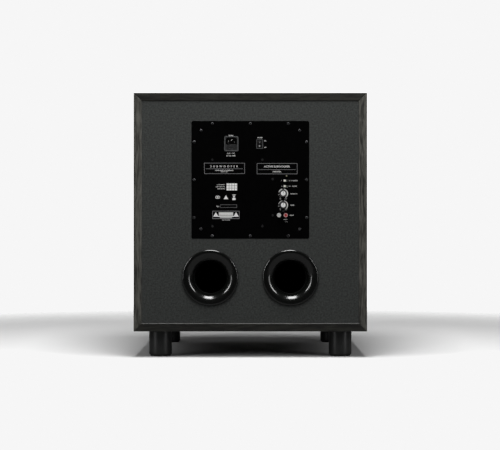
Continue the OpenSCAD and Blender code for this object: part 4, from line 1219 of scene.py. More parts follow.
@dataclass
class Woofer:
    """Pressed basket, magnet system, and the cone on its surround and spider."""

    surround_out: float = 169 * MM
    cone_out: float = 144 * MM
    coil: float = 33 * MM
    spider_out: float = 82 * MM
    lead_in: float = 46 * MM
    lead_out: float = 116 * MM
    lip: float = 6 * MM
    land: float = 10 * MM
    sheet: float = 1 * MM

    def surround(self) -> np.ndarray:
        """The surround's section: a flat land on the cone's lip, half a circle, and a flat land on
        the frame, then the same line back on top."""
        roll = (self.surround_out - self.cone_out) / 2
        mid = self.cone_out + roll
        turn = np.linspace(math.pi, 0.0, 44)
        under = arc((mid, self.sheet), roll - self.sheet, turn)
        over = arc((mid, self.sheet), roll, turn[::-1])
        inner, outer = self.cone_out - self.lip, self.surround_out + self.land
        start = np.array([(inner, 0.0), (self.cone_out, 0.0)])
        edge = np.array([(self.surround_out, 0.0), (outer, 0.0), (outer, self.sheet)])
        return np.concatenate([start, under, edge, over, np.array([(inner, self.sheet)])])

    def build(self) -> None:
        """Makes the fixed parts from their nodes and the soft parts on the woofer's own axis."""
        fixed = {
            "woofer_basket": ("basket_frame", Palette.BASKET, "basket_paint", 0.5),
            "woofer_gasket": ("basket_gasket", Palette.RUBBER, "black_rubber", 0.5),
            "woofer_top_plate": ("top_plate", Palette.STEEL, "plate_steel", 0.4),
            "woofer_magnets": ("ring_magnets", Palette.FERRITE, "ferrite", 0.8),
            "woofer_yoke": ("yoke", Palette.STEEL, "plate_steel", 0.4),
            "magnet_cover": ("magnet_boot", Palette.RUBBER, "black_rubber", 0.5),
            "woofer_terminals": ("terminal_strip", Palette.SOCKET, "socket_plastic", 0.3),
        }
        for node, (name, finish, slot, edge) in fixed.items():
            sharpened(node, name, finish, Home(slot=slot), edge * MM)
        riding = {
            "woofer_cone": ("cone", Palette.CONE, "cone_pulp"),
            "dust_cap": ("cone_cap", Palette.CAP, "cone_pulp"),
            "voice_coil_former": ("coil_former_tube", Palette.FORMER, "former_foil"),
            "voice_coil_winding": ("coil_turns", Palette.COPPER, "copper"),
        }
        for node, (name, finish, slot) in riding.items():
            sharpened(node, name, finish, Home(MOVER, slot))
        axis = middle("woofer_surround")
        base = Face.front(axis[0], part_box("woofer_surround")[1][1], axis[2])
        roll = make(
            "surround_roll", lathe(self.surround(), base, 160), Palette.RUBBER,
            Home(slot="black_rubber"), crease=50.0,
        )
        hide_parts("woofer_surround")
        spider = sharpened(
            "woofer_spider", "spider_disc", Palette.SPIDER, Home(slot="spider_cloth"), crease=60.0
        )
        leads = sharpened(
            "tinsel_leads", "tinsel_strands", Palette.TINSEL, Home(slot="copper"), crease=60.0
        )
        for piece, inner, outer in (
            (roll, self.cone_out, self.surround_out),
            (spider, self.coil + MM, self.spider_out),
            (leads, self.lead_in, self.lead_out),
        ):
            loosen(piece)
            radial_blend(piece, inner, outer, (axis[0], axis[2]))


def loosen(piece: bpy.types.Object) -> None:
    """Takes a piece off its body, so that it can bend between two."""
    piece.parent = None
    if "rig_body" in piece:
        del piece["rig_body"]


@dataclass
class Grille:
    """Board frame with acoustic cloth wrapped round its front and sides and tucked behind."""

    cloth: float = 0.8 * MM
    corner: float = 5 * MM
    tuck: float = 12 * MM
    fold: float = 1.2 * MM
    gap: float = 0.5 * MM
    body: str = "grille"

    def outline(self, half_w: float, half_h: float, corner: float, steps: int) -> tuple[
        np.ndarray, np.ndarray
    ]:
        """A rounded rectangle as points and outward directions: each corner is a quarter circle,
        and the straight sides between them are cut into equal steps."""
        turn = np.linspace(0.0, math.pi / 2, 9)
        quarters, ways = [], []
        for i, (sx, sy) in enumerate(((1, 1), (-1, 1), (-1, -1), (1, -1))):
            angle = turn + i * math.pi / 2
            way = np.stack([np.cos(angle), np.sin(angle)], -1)
            quarters.append(
                np.array([sx * (half_w - corner), sy * (half_h - corner)]) + corner * way
            )
            ways.append(way)
        points, outs = [], []
        share = np.linspace(0.0, 1.0, steps)[1:-1, None]
        for i in range(4):
            after = quarters[(i + 1) % 4][0]
            points += [quarters[i], quarters[i][-1] * (1 - share) + after * share]
            outs += [ways[i], np.broadcast_to(ways[i][-1], (steps - 2, 2))]
        return np.concatenate(points), np.concatenate(outs)

    def build(self) -> None:
        """Makes the frame, and the cloth as one surface: the front, a small round over its edge,
        the side, another round and the tuck. Its UV is the cut cloth's own length and width,
        unrolled from the front."""
        sharpened(
            "grille_frame", "grille_board", Palette.GRILLE_BOARD, Home(self.body, "grille_board"),
            1.0 * MM, 3,
        )
        low, high = span("grille_cloth")
        half = (high - low) / 2
        mid = (high + low) / 2
        depth = self.side_depth()
        edge, outs = self.outline(half[0], half[2], self.corner, 40)
        swell, r = self.cloth, self.fold
        turn = np.linspace(0.0, math.pi / 2, 5)
        over = np.stack([swell - r + r * np.sin(turn), r - r * np.cos(turn)], -1)
        under = arc((swell - r, depth + swell - r), r, turn)
        tail = np.array([(-self.tuck, depth + swell)])
        section = np.concatenate([over, under, tail])
        run = np.concatenate(
            [[0.0], np.cumsum(np.linalg.norm(np.diff(section, axis=0), axis=1))]
        ) + section[0, 0]
        rings = np.linspace(0.0, 1.0, 18)[1:]
        inner = edge + outs * section[0, 0]
        flat = rings[:, None, None] * inner[None]
        wrap = edge[None] + outs[None] * section[1:, 0, None, None]
        plan = np.concatenate([np.zeros((1, *edge.shape)), flat, wrap])
        y = np.concatenate([np.zeros(1 + len(rings)), section[1:, 1]])
        uv = np.concatenate([plan[: 1 + len(rings)], edge[None] + outs[None] * run[1:, None, None]])
        y_grid = low[1] + np.broadcast_to(y[:, None], plan.shape[:2])
        points = np.stack([mid[0] + plan[..., 0], y_grid, mid[2] + plan[..., 1]], -1)
        home = Home(self.body, "grille_cloth", ("grille_cloth",))
        cloth = make(
            "acoustic_cloth", surface(points, wrap=True, uv=uv), Palette.GRILLE_CLOTH, home, 70.0,
            outward=False,
        )
        cloth_area(cloth)

    def side_depth(self) -> float:
        """How deep the frame's board is, without its pegs: from the cloth to the front of the
        cabinet."""
        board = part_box("front_baffle")[0][1] - self.gap
        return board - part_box("grille_cloth")[1][1] + self.cloth


def cloth_area(piece: bpy.types.Object) -> float:
    """The area of a piece's faces."""
    faces = np.empty(len(piece.data.polygons), np.float32)
    piece.data.polygons.foreach_get("area", faces)
    return float(faces.sum())


# ---------------------------------------------------------------- amplifier


@dataclass
class Screws:
    """Pan head screws with a cross recess, placed on a face."""

    head: float = 3.1 * MM
    rise: float = 1.8 * MM
    shank: float = 1.7 * MM
    length: float = 15 * MM
    slot_width: float = 0.75 * MM
    slot_reach: float = 2.0 * MM
    slot_depth: float = 1.1 * MM

    def shell(self, face: Face, spots: np.ndarray, seed: int) -> Shell:
        """Each screw is one closed grid from the tip of its shank to the top of its domed head.
        Where a point lies in either bar of a cross, it is sunk by the recess's depth. Each cross
        has its own turn."""
        dome = np.linspace(1.0, 0.0, 15)[:-1]
        rim = 0.45 * self.rise
        r = np.concatenate(
            [[0, self.shank, self.shank, self.head, self.head], self.head * dome, [0.0]]
        )
        top = rim + (self.rise - rim) * np.sqrt(np.maximum(0.0, 1 - dome**2))
        h = np.concatenate([[-self.length, -self.length, 0, 0, rim], top, [self.rise]])
        turn = np.arange(40) * (2 * math.pi / 40)
        start = np.random.default_rng(seed).uniform(0, math.pi / 2, len(spots))
        angle = turn[None, :] + start[:, None]
        x0, y0 = r[:, None] * np.cos(turn), r[:, None] * np.sin(turn)
        x, y = r[None, :, None] * np.cos(angle)[:, None], r[None, :, None] * np.sin(angle)[:, None]
        soft = 0.18 * MM
        bar = [
            np.clip((self.slot_width / 2 - np.abs(a)) / soft + 0.5, 0, 1)
            * np.clip((self.slot_reach - np.abs(b)) / soft + 0.5, 0, 1)
            for a, b in ((x, y), (y, x))
        ]
        inside = (h > rim * 0.99)[None, :, None] * np.maximum(*bar)
        out = h[None, :, None] - inside * self.slot_depth
        local = np.stack([np.broadcast_to(x0, out.shape), np.broadcast_to(y0, out.shape), out], -1)
        local = local + np.concatenate([spots, np.zeros((len(spots), 1))], 1)[:, None, None]
        return Shell.joined([surface(face.place(grid), wrap=True) for grid in local])


@dataclass
class AmplifierPlate:
    """The amplifier's painted plate, its gasket, its cover and its screws."""

    edge_pitch: float = 82 * MM
    edge_screw: float = 121.5 * MM
    corner_screw: float = 106.5 * MM

    def plate(self) -> Face:
        """The plate's face, from its middle."""
        mid = middle("amp_panel")
        return Face.back(mid[0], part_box("amp_panel")[1][1], mid[2])

    def build(self) -> None:
        """Makes the plate and what is fixed to it."""
        sharpened("amp_panel", "amplifier_plate", Palette.PANEL, Home(slot="amp_paint"), 0.35 * MM)
        sharpened("amp_gasket", "plate_gasket", Palette.FOAM, Home(slot="foam"))
        sharpened(
            "amp_cover", "steel_cover", Palette.SHEET_STEEL, Home(slot="cover_steel"), 0.3 * MM
        )
        line = np.array([-1, 0, 1]) * self.edge_pitch
        edge = np.full(3, self.edge_screw)
        rim = np.concatenate(
            [
                np.stack(pair, 1) for pair in (
                    (line, edge), (line, -edge), (edge, line), (-edge, line)
                )
            ]
        )
        inner = np.array([(x, y) for x in (-1, 1) for y in (-1, 1)]) * self.corner_screw
        shell = Shell.joined(
            [
                Screws().shell(self.plate(), rim, SEED),
                Screws(length=8 * MM).shell(self.plate(), inner, SEED + 1)
            ]
        )
        make(
            "plate_screws", shell, Palette.SCREW,
            Home(slot="screw_black", nodes=("amp_panel_screws",)),
        )


@dataclass
class Electronics:
    """What stands behind the plate: boards, spacers, heatsink, capacitors and transformer."""

    spots: tuple[tuple[float, float], ...] = (
        (-82, 43), (26, 43), (-82, -101), (26, -101), (48.5, 1.1), (48.5, -77.4), (70.7, -67.4)
    )

    def build(self, plate: Face) -> None:
        """Makes the boards from their nodes and the board screws on the plate.

        Args:
            plate: The plate's face.
        """
        nodes = {
            "main_board": ("power_board", Palette.BOARD, "board_green", 0.0),
            "control_board": ("signal_board", Palette.BOARD, "board_green", 0.0),
            "heatsink": ("fin_block", Palette.HEATSINK, "heatsink_alu", 0.15),
            "reservoir_capacitors": ("capacitors", Palette.SLEEVE, "capacitor", 1.0),
            "power_transformer": ("transformer", Palette.CORE, "transformer", 0.5),
        }
        for node, (name, finish, slot, edge) in nodes.items():
            sharpened(node, name, finish, Home(slot=slot), edge * MM)
        spots = np.array(self.spots) * MM
        back = -(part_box("amp_panel")[1][1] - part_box("main_board")[1][1])
        pipe = np.array([(1.55, back / MM), (3.0, back / MM), (3.0, -3.0), (1.55, -3.0)]) * MM
        flat = Screws(2.6 * MM, 1.1 * MM, 1.5 * MM, 7 * MM, 0.6 * MM, 1.5 * MM, 0.8 * MM)
        home = Home(slot="fixing_brass", nodes=("board_fixings",))
        places = plate.place(np.concatenate([spots, np.zeros((len(spots), 1))], 1)) - np.asarray(
            plate.origin
        )
        make("board_spacers", lathe(pipe, plate, 32).at(places), Palette.BRASS, home)
        make("board_screws", flat.shell(plate, spots, SEED + 2), Palette.DULL_SCREW, home)
        rear = Face(plate.origin, plate.right, plate.up, tuple(-c for c in plate.out))
        depth = -back + 1.6 * MM
        shell = Screws(2.6 * MM, 1.6 * MM, 1.5 * MM, 5.6 * MM).shell(
            rear.shift(0, 0, depth), spots, SEED + 3
        )
        make("board_nuts", shell, Palette.STEEL, home)


def satin_rim(
    node: str, name: str, inset: float, stroke: float, rise: float, corner: float
) -> None:
    """Lays a lighter line round the front of a socket or a switch: a painted highlight along the edge of its
    front.

    Args:
        node: The CAD node that it lies on.
        name: The piece's name.
        inset: How far the line lies inside the node's edge.
        stroke: The line's width.
        rise: How far it stands out.
        corner: The radius of its corners.
    """
    low, high = span(node)
    front = Face.back((low[0] + high[0]) / 2, high[1], (low[2] + high[2]) / 2)
    size = (high[0] - low[0] - 2 * inset, high[2] - low[2] - 2 * inset)
    ring = outline(front, size, stroke, -0.1 * MM, rise, corner)
    make(name, ring, Palette.RIM_HIGHLIGHT, Home(slot="socket_plastic", nodes=(node,)), crease=30.0)


@dataclass
class MainsInlet:
    """Appliance inlet with a fuse drawer."""

    body: str = "fuse_drawer"
    fuse_r: float = 2.6 * MM
    cap: float = 5 * MM

    def build(self) -> None:
        """Makes the moulding, pins, drawer and fuse."""
        sharpened(
            "inlet_socket", "mains_inlet", Palette.SOCKET, Home(slot="socket_plastic"), 0.35 * MM, 3
        )
        # A painted highlight round the inlet's front edge.
        satin_rim(
            "inlet_socket", "inlet_rim", inset=0.6 * MM, stroke=1.5 * MM, rise=0.12 * MM,
            corner=3.2 * MM,
        )
        sharpened("inlet_pins", "mains_pins", Palette.CONTACT, Home(slot="contact"), 0.45 * MM, 3)
        sharpened(
            "fuse_drawer", "fuse_tray", Palette.SOCKET, Home(self.body, "socket_plastic"), 0.25 * MM
        )
        low, high = span("fuse")
        mid = (low + high) / 2
        side = Face((low[0], mid[1], mid[2]), (0.0, 1.0, 0.0), (0.0, 0.0, 1.0), (1.0, 0.0, 0.0))
        length, r, cap = high[0] - low[0], self.fuse_r, self.cap
        tube = np.array(
            [
                (0, cap - MM), (r - 0.15 * MM, cap - MM), (r - 0.15 * MM, length - cap + MM),
                (0, length - cap + MM)
            ]
        )
        home = Home(self.body, "fuse_glass", ("fuse",))
        make("fuse_tube", lathe(tube, side, 32, closed=False), Palette.FUSE_GLASS, home)
        one = rounded(
            [(0, 0), (r, 0), (r, cap), (0, cap)], [0, 0.5 * MM, 0.1 * MM, 0], closed=False
        )
        ends = [lathe(one, side, 32, False), lathe(one, side.shift(0, 0, length - cap), 32, False)]
        make("fuse_caps", Shell.joined(ends), Palette.CONTACT, home)


@dataclass
class PowerSwitch:
    """Rocker switch, with the marks moulded on its paddle."""

    tilt: float = math.radians(9)
    slope: float = 0.206
    crest: float = 3.2
    reach: float = 3.9
    body: str = "power_rocker"

    def build(self) -> None:
        """Makes the housing, the paddle, and its marks: a bar on one half and a ring on the
        other."""
        sharpened(
            "switch_housing", "rocker_housing", Palette.SOCKET, Home(slot="socket_plastic"),
            0.3 * MM, 3,
        )
        # A painted highlight round the switch's front edge.
        satin_rim(
            "switch_housing", "switch_rim", inset=0.4 * MM, stroke=0.8 * MM, rise=0.08 * MM,
            corner=2.0 * MM,
        )
        sharpened(
            "power_rocker", "rocker_paddle", Palette.ROCKER, Home(self.body, "rocker_plastic"),
            0.35 * MM, 3,
        )
        joint = next(j for j in FRAME["joints"] if j["name"] == "rocker_turn")
        x, y, z = joint["pos_m"]
        marks = []
        for side in (1, -1):
            lean = self.tilt + math.atan(side * self.slope)
            out = (0.0, math.cos(lean), -math.sin(lean))
            up = (0.0, math.sin(lean), math.cos(lean))
            far, height = side * self.reach, self.crest + self.reach * self.slope
            local = MM * np.array([
                0.0, far * math.cos(self.tilt) - height * math.sin(self.tilt),
                far * math.sin(self.tilt) + height * math.cos(self.tilt),
            ])
            spot = Face((x, y + local[2], z + local[1]), (-1.0, 0.0, 0.0), up, out)
            if side > 0:
                marks.append(boxes([[0, 0, 0.5 * MM, 2.6 * MM, 0]], spot, -0.02 * MM, 0.05 * MM))
            else:
                ring = np.array([(0.9, -0.02), (1.35, -0.02), (1.35, 0.05), (0.9, 0.05)]) * MM
                marks.append(lathe(ring, spot, 32))
        make("rocker_marks", Shell.joined(marks), Palette.INK, Home(self.body, "rocker_plastic"))


@dataclass
class Knob:
    """Fluted knob with a pale cap, on its shaft."""

    radius: float = 7.75 * MM
    height: float = 13.5 * MM
    lift: float = 0.6 * MM
    cap: float = 5.1 * MM
    flutes: int = 24
    flute_depth: float = 0.28 * MM
    flute_band: tuple[float, float] = (1.35 * MM, 0.5 * MM)
    hollow: tuple[float, float] = (4.3 * MM, 2.6 * MM)
    recess: float = 0.5 * MM
    ring: float = 0.15 * MM

    def build(self, name: str, plate: Face) -> None:
        """Makes the skirt, whose wall is pulled in by a cosine at each flute, the cap and its
        pointer.

        Args:
            name: The knob's body and node.
            plate: The plate's face.
        """
        spot = middle(name)
        face = Face.back(spot[0], plate.origin[1], spot[2])
        r, top, base = self.radius, self.height, self.lift
        bed, lip = top - self.recess, self.cap + self.ring
        wide, deep = self.hollow
        outer = rounded(
            [(wide, base), (r, base), (r - 0.8 * MM, bed), (r - 1.3 * MM, top), (lip, top),
             (lip, bed), (0, bed)],
            [0.1 * MM, 0.4 * MM, 0.5 * MM, 0.4 * MM, 0.2 * MM, 0.05 * MM, 0], closed=False,
        )
        line = np.concatenate([np.array([(0.0, deep), (wide, deep)]), outer])
        turn = np.arange(192) * (2 * math.pi / 192)
        band = np.clip((line[:, 0] - (r - self.flute_band[0])) / self.flute_band[1], 0, 1)[:, None]
        flute = (0.5 + 0.5 * np.cos(self.flutes * turn)) ** 3
        radius = line[:, :1] - band * self.flute_depth * flute
        height = np.broadcast_to(line[:, 1:], radius.shape)
        local = np.stack([radius * np.cos(turn), radius * np.sin(turn), height], -1)
        home = Home(name, "knob_black", (name,))
        make(
            f"{name}_skirt", surface(face.place(local), wrap=True), Palette.KNOB, home, crease=50.0
        )
        disc = rounded(
            [(0, top - 0.5 * MM), (self.cap, top - 0.5 * MM), (self.cap, top), (0, top)],
            [0, 0, 0.25 * MM, 0], closed=False,
        )
        metal = TurnedMetal(
            f"{name}_spun_cap", (0.93, 0.93, 0.92), roughness=0.35, metallic=0.15, depth=0.00001,
            axis=(spot[0], spot[2])
        )
        make(f"{name}_cap", lathe(disc, face, 64, closed=False), metal, home)
        pointer = boxes(
            [[0, 2.9 * MM, 0.9 * MM, 4.0 * MM, 0]], face, top - 0.1 * MM, top + 0.06 * MM
        )
        make(f"{name}_pointer", pointer, Palette.KNOB, home)
        shaft = np.array([(0, -10.0), (3.0, -10.0), (3.0, 10.9), (0, 10.9)]) * MM
        make(f"{name}_shaft", lathe(shaft, face, 40, closed=False), Palette.STEEL, home)


@dataclass
class PhonoJack:
    """Phono socket: a coloured insulator and collar with a plated shell."""

    collar: float = 4.6 * MM
    shell_r: float = 4.15 * MM
    wall: float = 0.65 * MM
    reach: float = 9.5 * MM
    bore: float = 1.65 * MM

    def build(self, colour: str, finish: Finish, plate: Face) -> None:
        """Makes the socket's insulator, its shell and its body behind the plate.

        Args:
            colour: The colour in its node's name.
            finish: The insulator's finish.
            plate: The plate's face.
        """
        node = f"{colour}_phono_jack"
        spot = middle(node)
        face = Face.back(spot[0], plate.origin[1], spot[2])
        core, back = self.shell_r - self.wall - 0.05 * MM, -3 * MM
        top, r = self.reach - 0.8 * MM, self.shell_r
        line = rounded(
            [(0, back), (self.collar, back), (self.collar, MM), (core, MM), (core, top),
             (self.bore, top), (self.bore, 0), (0, 0)],
            [0, 0, 0.3 * MM, 0, 0.35 * MM, 0.3 * MM, 0, 0], closed=False,
        )
        home = Home(slot=f"jack_{colour}", nodes=(node,))
        make(f"{colour}_insulator", lathe(line, face, 72, closed=False), finish, home)
        body = boxes([[0, 0, 13 * MM, 10 * MM, 0]], face, -13 * MM, back)
        make(f"{colour}_jack_body", body, Palette.SOCKET, home)
        ring = rounded(
            [(r - self.wall, MM), (r, MM), (r, self.reach), (r - self.wall, self.reach)],
            [0, 0, 0.3 * MM, 0.25 * MM],
        )
        make(f"{colour}_jack_shell", lathe(ring, face, 72), Palette.BRIGHT, home)


@dataclass
class SignalControls:
    """The column of controls beside the sockets."""

    lamp: float = 1.5 * MM

    def build(self, plate: Face) -> None:
        """Makes the slide switches, knobs, phono sockets and lamp.

        Args:
            plate: The plate's face.
        """
        sharpened(
            "slide_switch_bodies", "switch_cans", Palette.TINPLATE, Home(slot="can_steel"),
            0.15 * MM,
        )
        sharpened(
            "potentiometers", "control_pots", Palette.TINPLATE, Home(slot="can_steel"), 0.2 * MM
        )
        for node in ("phase_slider", "mode_slider"):
            sharpened(
                node, node.replace("slider", "thumb"), Palette.CREAM, Home(node, "slider_cream"),
                0.35 * MM, 3,
            )
        for name in ("crossover_knob", "level_knob"):
            Knob().build(name, plate)
        for colour, finish in (("white", Palette.WHITE_JACK), ("red", Palette.RED_JACK)):
            PhonoJack().build(colour, finish, plate)
        spot = middle("status_lamp")
        turn = np.linspace(0, math.pi / 2, 10)
        dome = np.stack([self.lamp * np.cos(turn), 0.1 * MM + 0.5 * MM * np.sin(turn)], -1)
        line = np.concatenate([np.array([(0, -6), (1.9, -6), (1.9, -3), (1.5, -3)]) * MM, dome])
        face = Face.back(spot[0], plate.origin[1], spot[2])
        make(
            "status_lens", lathe(line, face, 40, closed=False), Palette.LAMP,
            Home(slot="lamp", nodes=("status_lamp",)),
        )


class Align(Enum):
    """Where a line of print starts from its place."""

    LEFT = "LEFT"
    MIDDLE = "CENTER"
    RIGHT = "RIGHT"


@dataclass(frozen=True)
class Line:
    """One line of print: its words, its place on the plate and the height of its capitals, in
    mm."""

    words: str
    u: float
    v: float
    height: float
    align: Align = Align.MIDDLE
    spacing: float = 1.0


@dataclass
class PanelPrint:
    """White print on the plate: plain words, numbers, frames and shapes. Places are in mm, from the
    plate's middle to the right and up."""

    thick: float = 0.05 * MM
    bold: float = 0.04 * MM
    cap_share: float = 0.7
    knobs: tuple[tuple[float, float], ...] = ((70.9, -29.6), (70.9, -54.8))
    travel: float = 150.0
    dial_radius: float = 9.7

    def lines(self) -> list[Line]:
        """Every line of print."""
        right, left = Align.RIGHT, Align.LEFT
        return [
            Line("MAINS", -42.0, 95.9, 2.3), Line("FUSE  ~ AC", -42.0, 57.2, 2.4),
            Line("IN THE TRAY", -42.0, 51.8, 2.4),
            Line("POWER", 20.9, 91.2, 2.1), Line("ON", 32.0, 84.2, 1.8),
            Line("OFF", 32.2, 69.9, 1.8),
            Line("SUBWOOFER", -56.6, 29.0, 4.0, spacing=2.1),
            Line("HOME AUDIO LOUDSPEAKER", -56.4, 20.4, 2.1),
            Line("INDOOR USE", -56.4, 17.4, 1.7),
            Line("ACTIVE SUBWOOFER", 57.4, 28.6, 4.1, spacing=0.98),
            Line("AMPLIFIER", 57.4, 17.6, 2.9), Line("PLACE UPRIGHT", -54.9, -10.6, 1.7, right),
            Line("KEEP IT DRY AND", -54.9, -15.0, 1.7, right),
            Line("CLEAR BEHIND", -54.9, -19.4, 1.7, right),
            Line("No.", -67.4, -57.4, 2.6, right), Line("READ THE GUIDE", -52.7, -86.8, 1.5),
            Line("0", 66.8, -1.8, 1.9), Line("180", 84.6, -1.8, 1.7),
            Line("PHASE", 89.2, -1.8, 2.3, left, 1.5),
            Line("A", 68.0, -13.9, 1.9), Line("ON", 84.9, -13.9, 1.9),
            Line("POWER", 90.8, -13.9, 2.0, left),
            Line("CROSSOVER", 86.4, -30.2, 1.9, left), Line("40", 65.0, -41.2, 2.3),
            Line("120", 76.4, -41.2, 2.3),
            Line("LEVEL", 86.6, -54.8, 2.4, left), Line("0", 65.0, -64.6, 2.2),
            Line("10", 76.2, -64.6, 2.2),
            Line("L", 50.0, -77.4, 2.2, right), Line("RIGHT", 85.0, -76.9, 2.2, left),
            Line("LINE IN", 76.0, -85.6, 1.8),
            Line("L + R", 78.0, -90.8, 1.6),
        ]

    def words(self, plate: Face) -> list[bpy.types.Mesh]:
        """Sets each line in the built-in type, as thin solid letters on the plate."""
        made = []
        for count, line in enumerate(self.lines()):
            curve = bpy.data.curves.new(f"words_{count}", "FONT")
            curve.body, curve.size = line.words, line.height * MM / self.cap_share
            curve.align_x, curve.align_y = line.align.value, "CENTER"
            curve.space_character, curve.resolution_u = line.spacing, 3
            curve.extrude = self.thick / 2
            curve.offset = self.bold
            text = linked(f"words_{count}", curve)
            mesh = bpy.data.meshes.new_from_object(
                text.evaluated_get(bpy.context.evaluated_depsgraph_get())
            )
            spot = np.array([line.u * MM, line.v * MM, self.thick / 2])
            mesh.vertices.foreach_set("co", plate.place(coordinates(mesh) + spot).ravel())
            bpy.data.objects.remove(text)
            made.append(mesh)
        return made

    def bars(self) -> np.ndarray:
        """Blocks of tiles and bars, in mm, as rows for boxes()."""
        across, along = (-1.5, -0.5, 0.5, 1.5), (-1, 0, 1)
        rows = [[-40.0 + 5.9 * i, -15.3 + 5.3 * j, 5.2, 4.6, 0] for i in across for j in along]
        rows += [
            [-52.7, -72.0, 31.0, 3.0, 0], [-52.7, -75.7, 31.0, 2.6, 0],
            [-52.7, -79.0, 34.0, 2.0, 0], [-52.7, -81.8, 26.0, 1.3, 0],
            [-35.4, -35.2, 4.2, 2.0, 0], [-35.4, -41.4, 7.0, 4.4, 0],
            [-35.4, -32.4, 7.0, 1.4, 0], [-35.4, -37.6, 2.4, 2.4, 0],
        ]
        return np.array(rows) * ROW_UNITS

    def frames(self, plate: Face) -> list[Shell]:
        """Frames and rules in thinner, greyer ink."""
        spots = (
            (-55.9, 24.8, 87.6, 23.4, 0.6), (57.9, 24.2, 87.4, 23.2, 0.6),
            (-47.3, -56.8, 36.4, 6.4, 0.4), (-52.7, -75.7, 58.4, 16.9, 0.75),
        )
        rows = np.array([[-55.9, 24.0, 80.0, 0.55, 0], [57.9, 22.2, 80.0, 0.55, 0]]) * ROW_UNITS
        rings = []
        for u, v, w, h, stroke in spots:
            spot = plate.shift(u * MM, v * MM, 0)
            rings.append(outline(spot, (w * MM, h * MM), stroke * MM, 0.0, self.thick))
        return rings + [boxes(rows, plate, 0.0, self.thick)]

    def dial(self, u: float, v: float, plate: Face) -> list[Shell]:
        """A swelling arc round a knob, broken into parts. Each part is a strip from its first angle
        to its last, whose width grows with the angle turned from the start of the knob's travel."""
        parts = []
        for first, last in ((-150, -136), (-112, -96), (-74, -10), (10, 150)):
            turn = np.linspace(first, last, 24)
            width = 0.7 + 1.7 * (turn + self.travel) / (2 * self.travel)
            angle = np.radians(90 - turn)
            edges = np.stack([self.dial_radius - width / 2, self.dial_radius + width / 2])
            r = edges[[0, 1, 1, 0]] * MM
            h = np.broadcast_to(np.array([0, 0, self.thick, self.thick])[:, None], r.shape)
            flat = arc((u * MM, v * MM), r, angle)
            local = np.concatenate([flat, h[..., None]], -1).transpose(1, 0, 2)
            parts.append(capped(surface(plate.place(local), wrap=True), 4))
        return parts

    def rounds(self, plate: Face) -> list[Shell]:
        """Rings and triangles: each is a short tube with as many sides as it needs."""
        shapes = []
        marks = (
            (-72.2, -37.6, 3.3, 2.2, 48, 0), (-68.9, -37.6, 3.3, 2.2, 48, 0),
            (-52.7, -38.9, 5.8, 0.6, 3, 90), (-74.6, -76.4, 6.6, 1.0, 3, 90),
            (-30.8, -76.4, 6.6, 1.0, 3, 90),
        )
        for u, v, outer, inner, sides, first in marks:
            turn = np.arange(sides) * 2 * math.pi / sides + math.radians(first)
            r = np.array([inner, outer, outer, inner])[:, None] * MM
            h = np.broadcast_to(np.array([0, 0, self.thick, self.thick])[:, None], (4, sides))
            local = np.stack([r * np.cos(turn) + u * MM, r * np.sin(turn) + v * MM, h], -1)
            shapes.append(surface(plate.place(local), wrap=True, loop=True))
        return shapes

    def build(self, plate: Face) -> None:
        """Makes the print as one piece of thin solid shapes.

        Args:
            plate: The plate's face.
        """
        dials = [part for u, v in self.knobs for part in self.dial(u, v, plate)]
        shell = Shell.joined(
            [boxes(self.bars(), plate, 0.0, self.thick), *self.rounds(plate), *dials]
        )
        home = Home(slot="amp_paint")
        make("plate_marks", shell, Palette.INK, home, crease=30.0)
        make("plate_frames", Shell.joined(self.frames(plate)), Palette.GREY_INK, home, crease=30.0)
        points, faces, start = [], [], 0
        for letters in self.words(plate):
            points.append(coordinates(letters))
            faces += [[v + start for v in polygon.vertices] for polygon in letters.polygons]
            start += len(letters.vertices)
        mesh = bpy.data.meshes.new("plate_words")
        mesh.from_pydata(np.concatenate(points), [], faces)
        tidy_mesh(mesh, 1e-7, True, 30.0)
        mesh.materials.append(Palette.INK.material())
        home.settle(linked("plate_words", mesh))
        log.info("plate_words: %d faces", len(mesh.polygons))


@dataclass
class Wiring:
    """The pair of leads from the amplifier to the woofer."""

    def build(self) -> None:
        """Splits the leads' node into its red and its black lead by height at the cover."""
        leads = {"red": (Palette.RED_LEAD, True), "black": (Palette.BLACK_LEAD, False)}
        for colour, (finish, upper) in leads.items():
            name, home = f"{colour}_speaker_lead", Home(slot="lead_sleeve")
            keep_island(sharpened("speaker_leads", name, finish, home, crease=60.0), upper)


def keep_island(piece: bpy.types.Object, upper: bool) -> None:
    """Keeps only one of a piece's two separate shells: the one whose rearmost point is the higher,
    or the other.

    Args:
        piece: The piece.
        upper: Whether to keep the higher.
    """
    work = bmesh.new()
    work.from_mesh(piece.data)
    start = max(work.verts, key=lambda v: (round(v.co.y, 5), v.co.z))
    seen, edge = {start}, [start]
    while edge:
        near = {e.other_vert(v) for v in edge for e in v.link_edges} - seen
        seen |= near
        edge = list(near)
    gone = [v for v in work.verts if (v in seen) != upper]
    bmesh.ops.delete(work, geom=gone, context="VERTS")
    work.to_mesh(piece.data)
    work.free()


@dataclass
class WooferScrews:
    """The screws round the woofer's flange."""

    circle: float = 185 * MM
    count: int = 8
    first: float = 22.5

    def build(self) -> None:
        """Makes the screws on the flange's own circle."""
        axis = middle("woofer_basket")
        face = Face.front(axis[0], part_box("woofer_basket")[0][1], axis[2])
        turn = np.radians(self.first + np.arange(self.count) * 360.0 / self.count)
        spots = self.circle * np.stack([np.cos(turn), np.sin(turn)], -1)
        head = Screws(4.5 * MM, 2.9 * MM, 2.4 * MM, 20 * MM, 1.1 * MM, 3.0 * MM, 1.7 * MM)
        make(
            "flange_screws", head.shell(face, spots, SEED + 4), Palette.DULL_SCREW,
            Home(slot="screw_black", nodes=("woofer_screws",)),
        )


# ---------------------------------------------------------------- studio


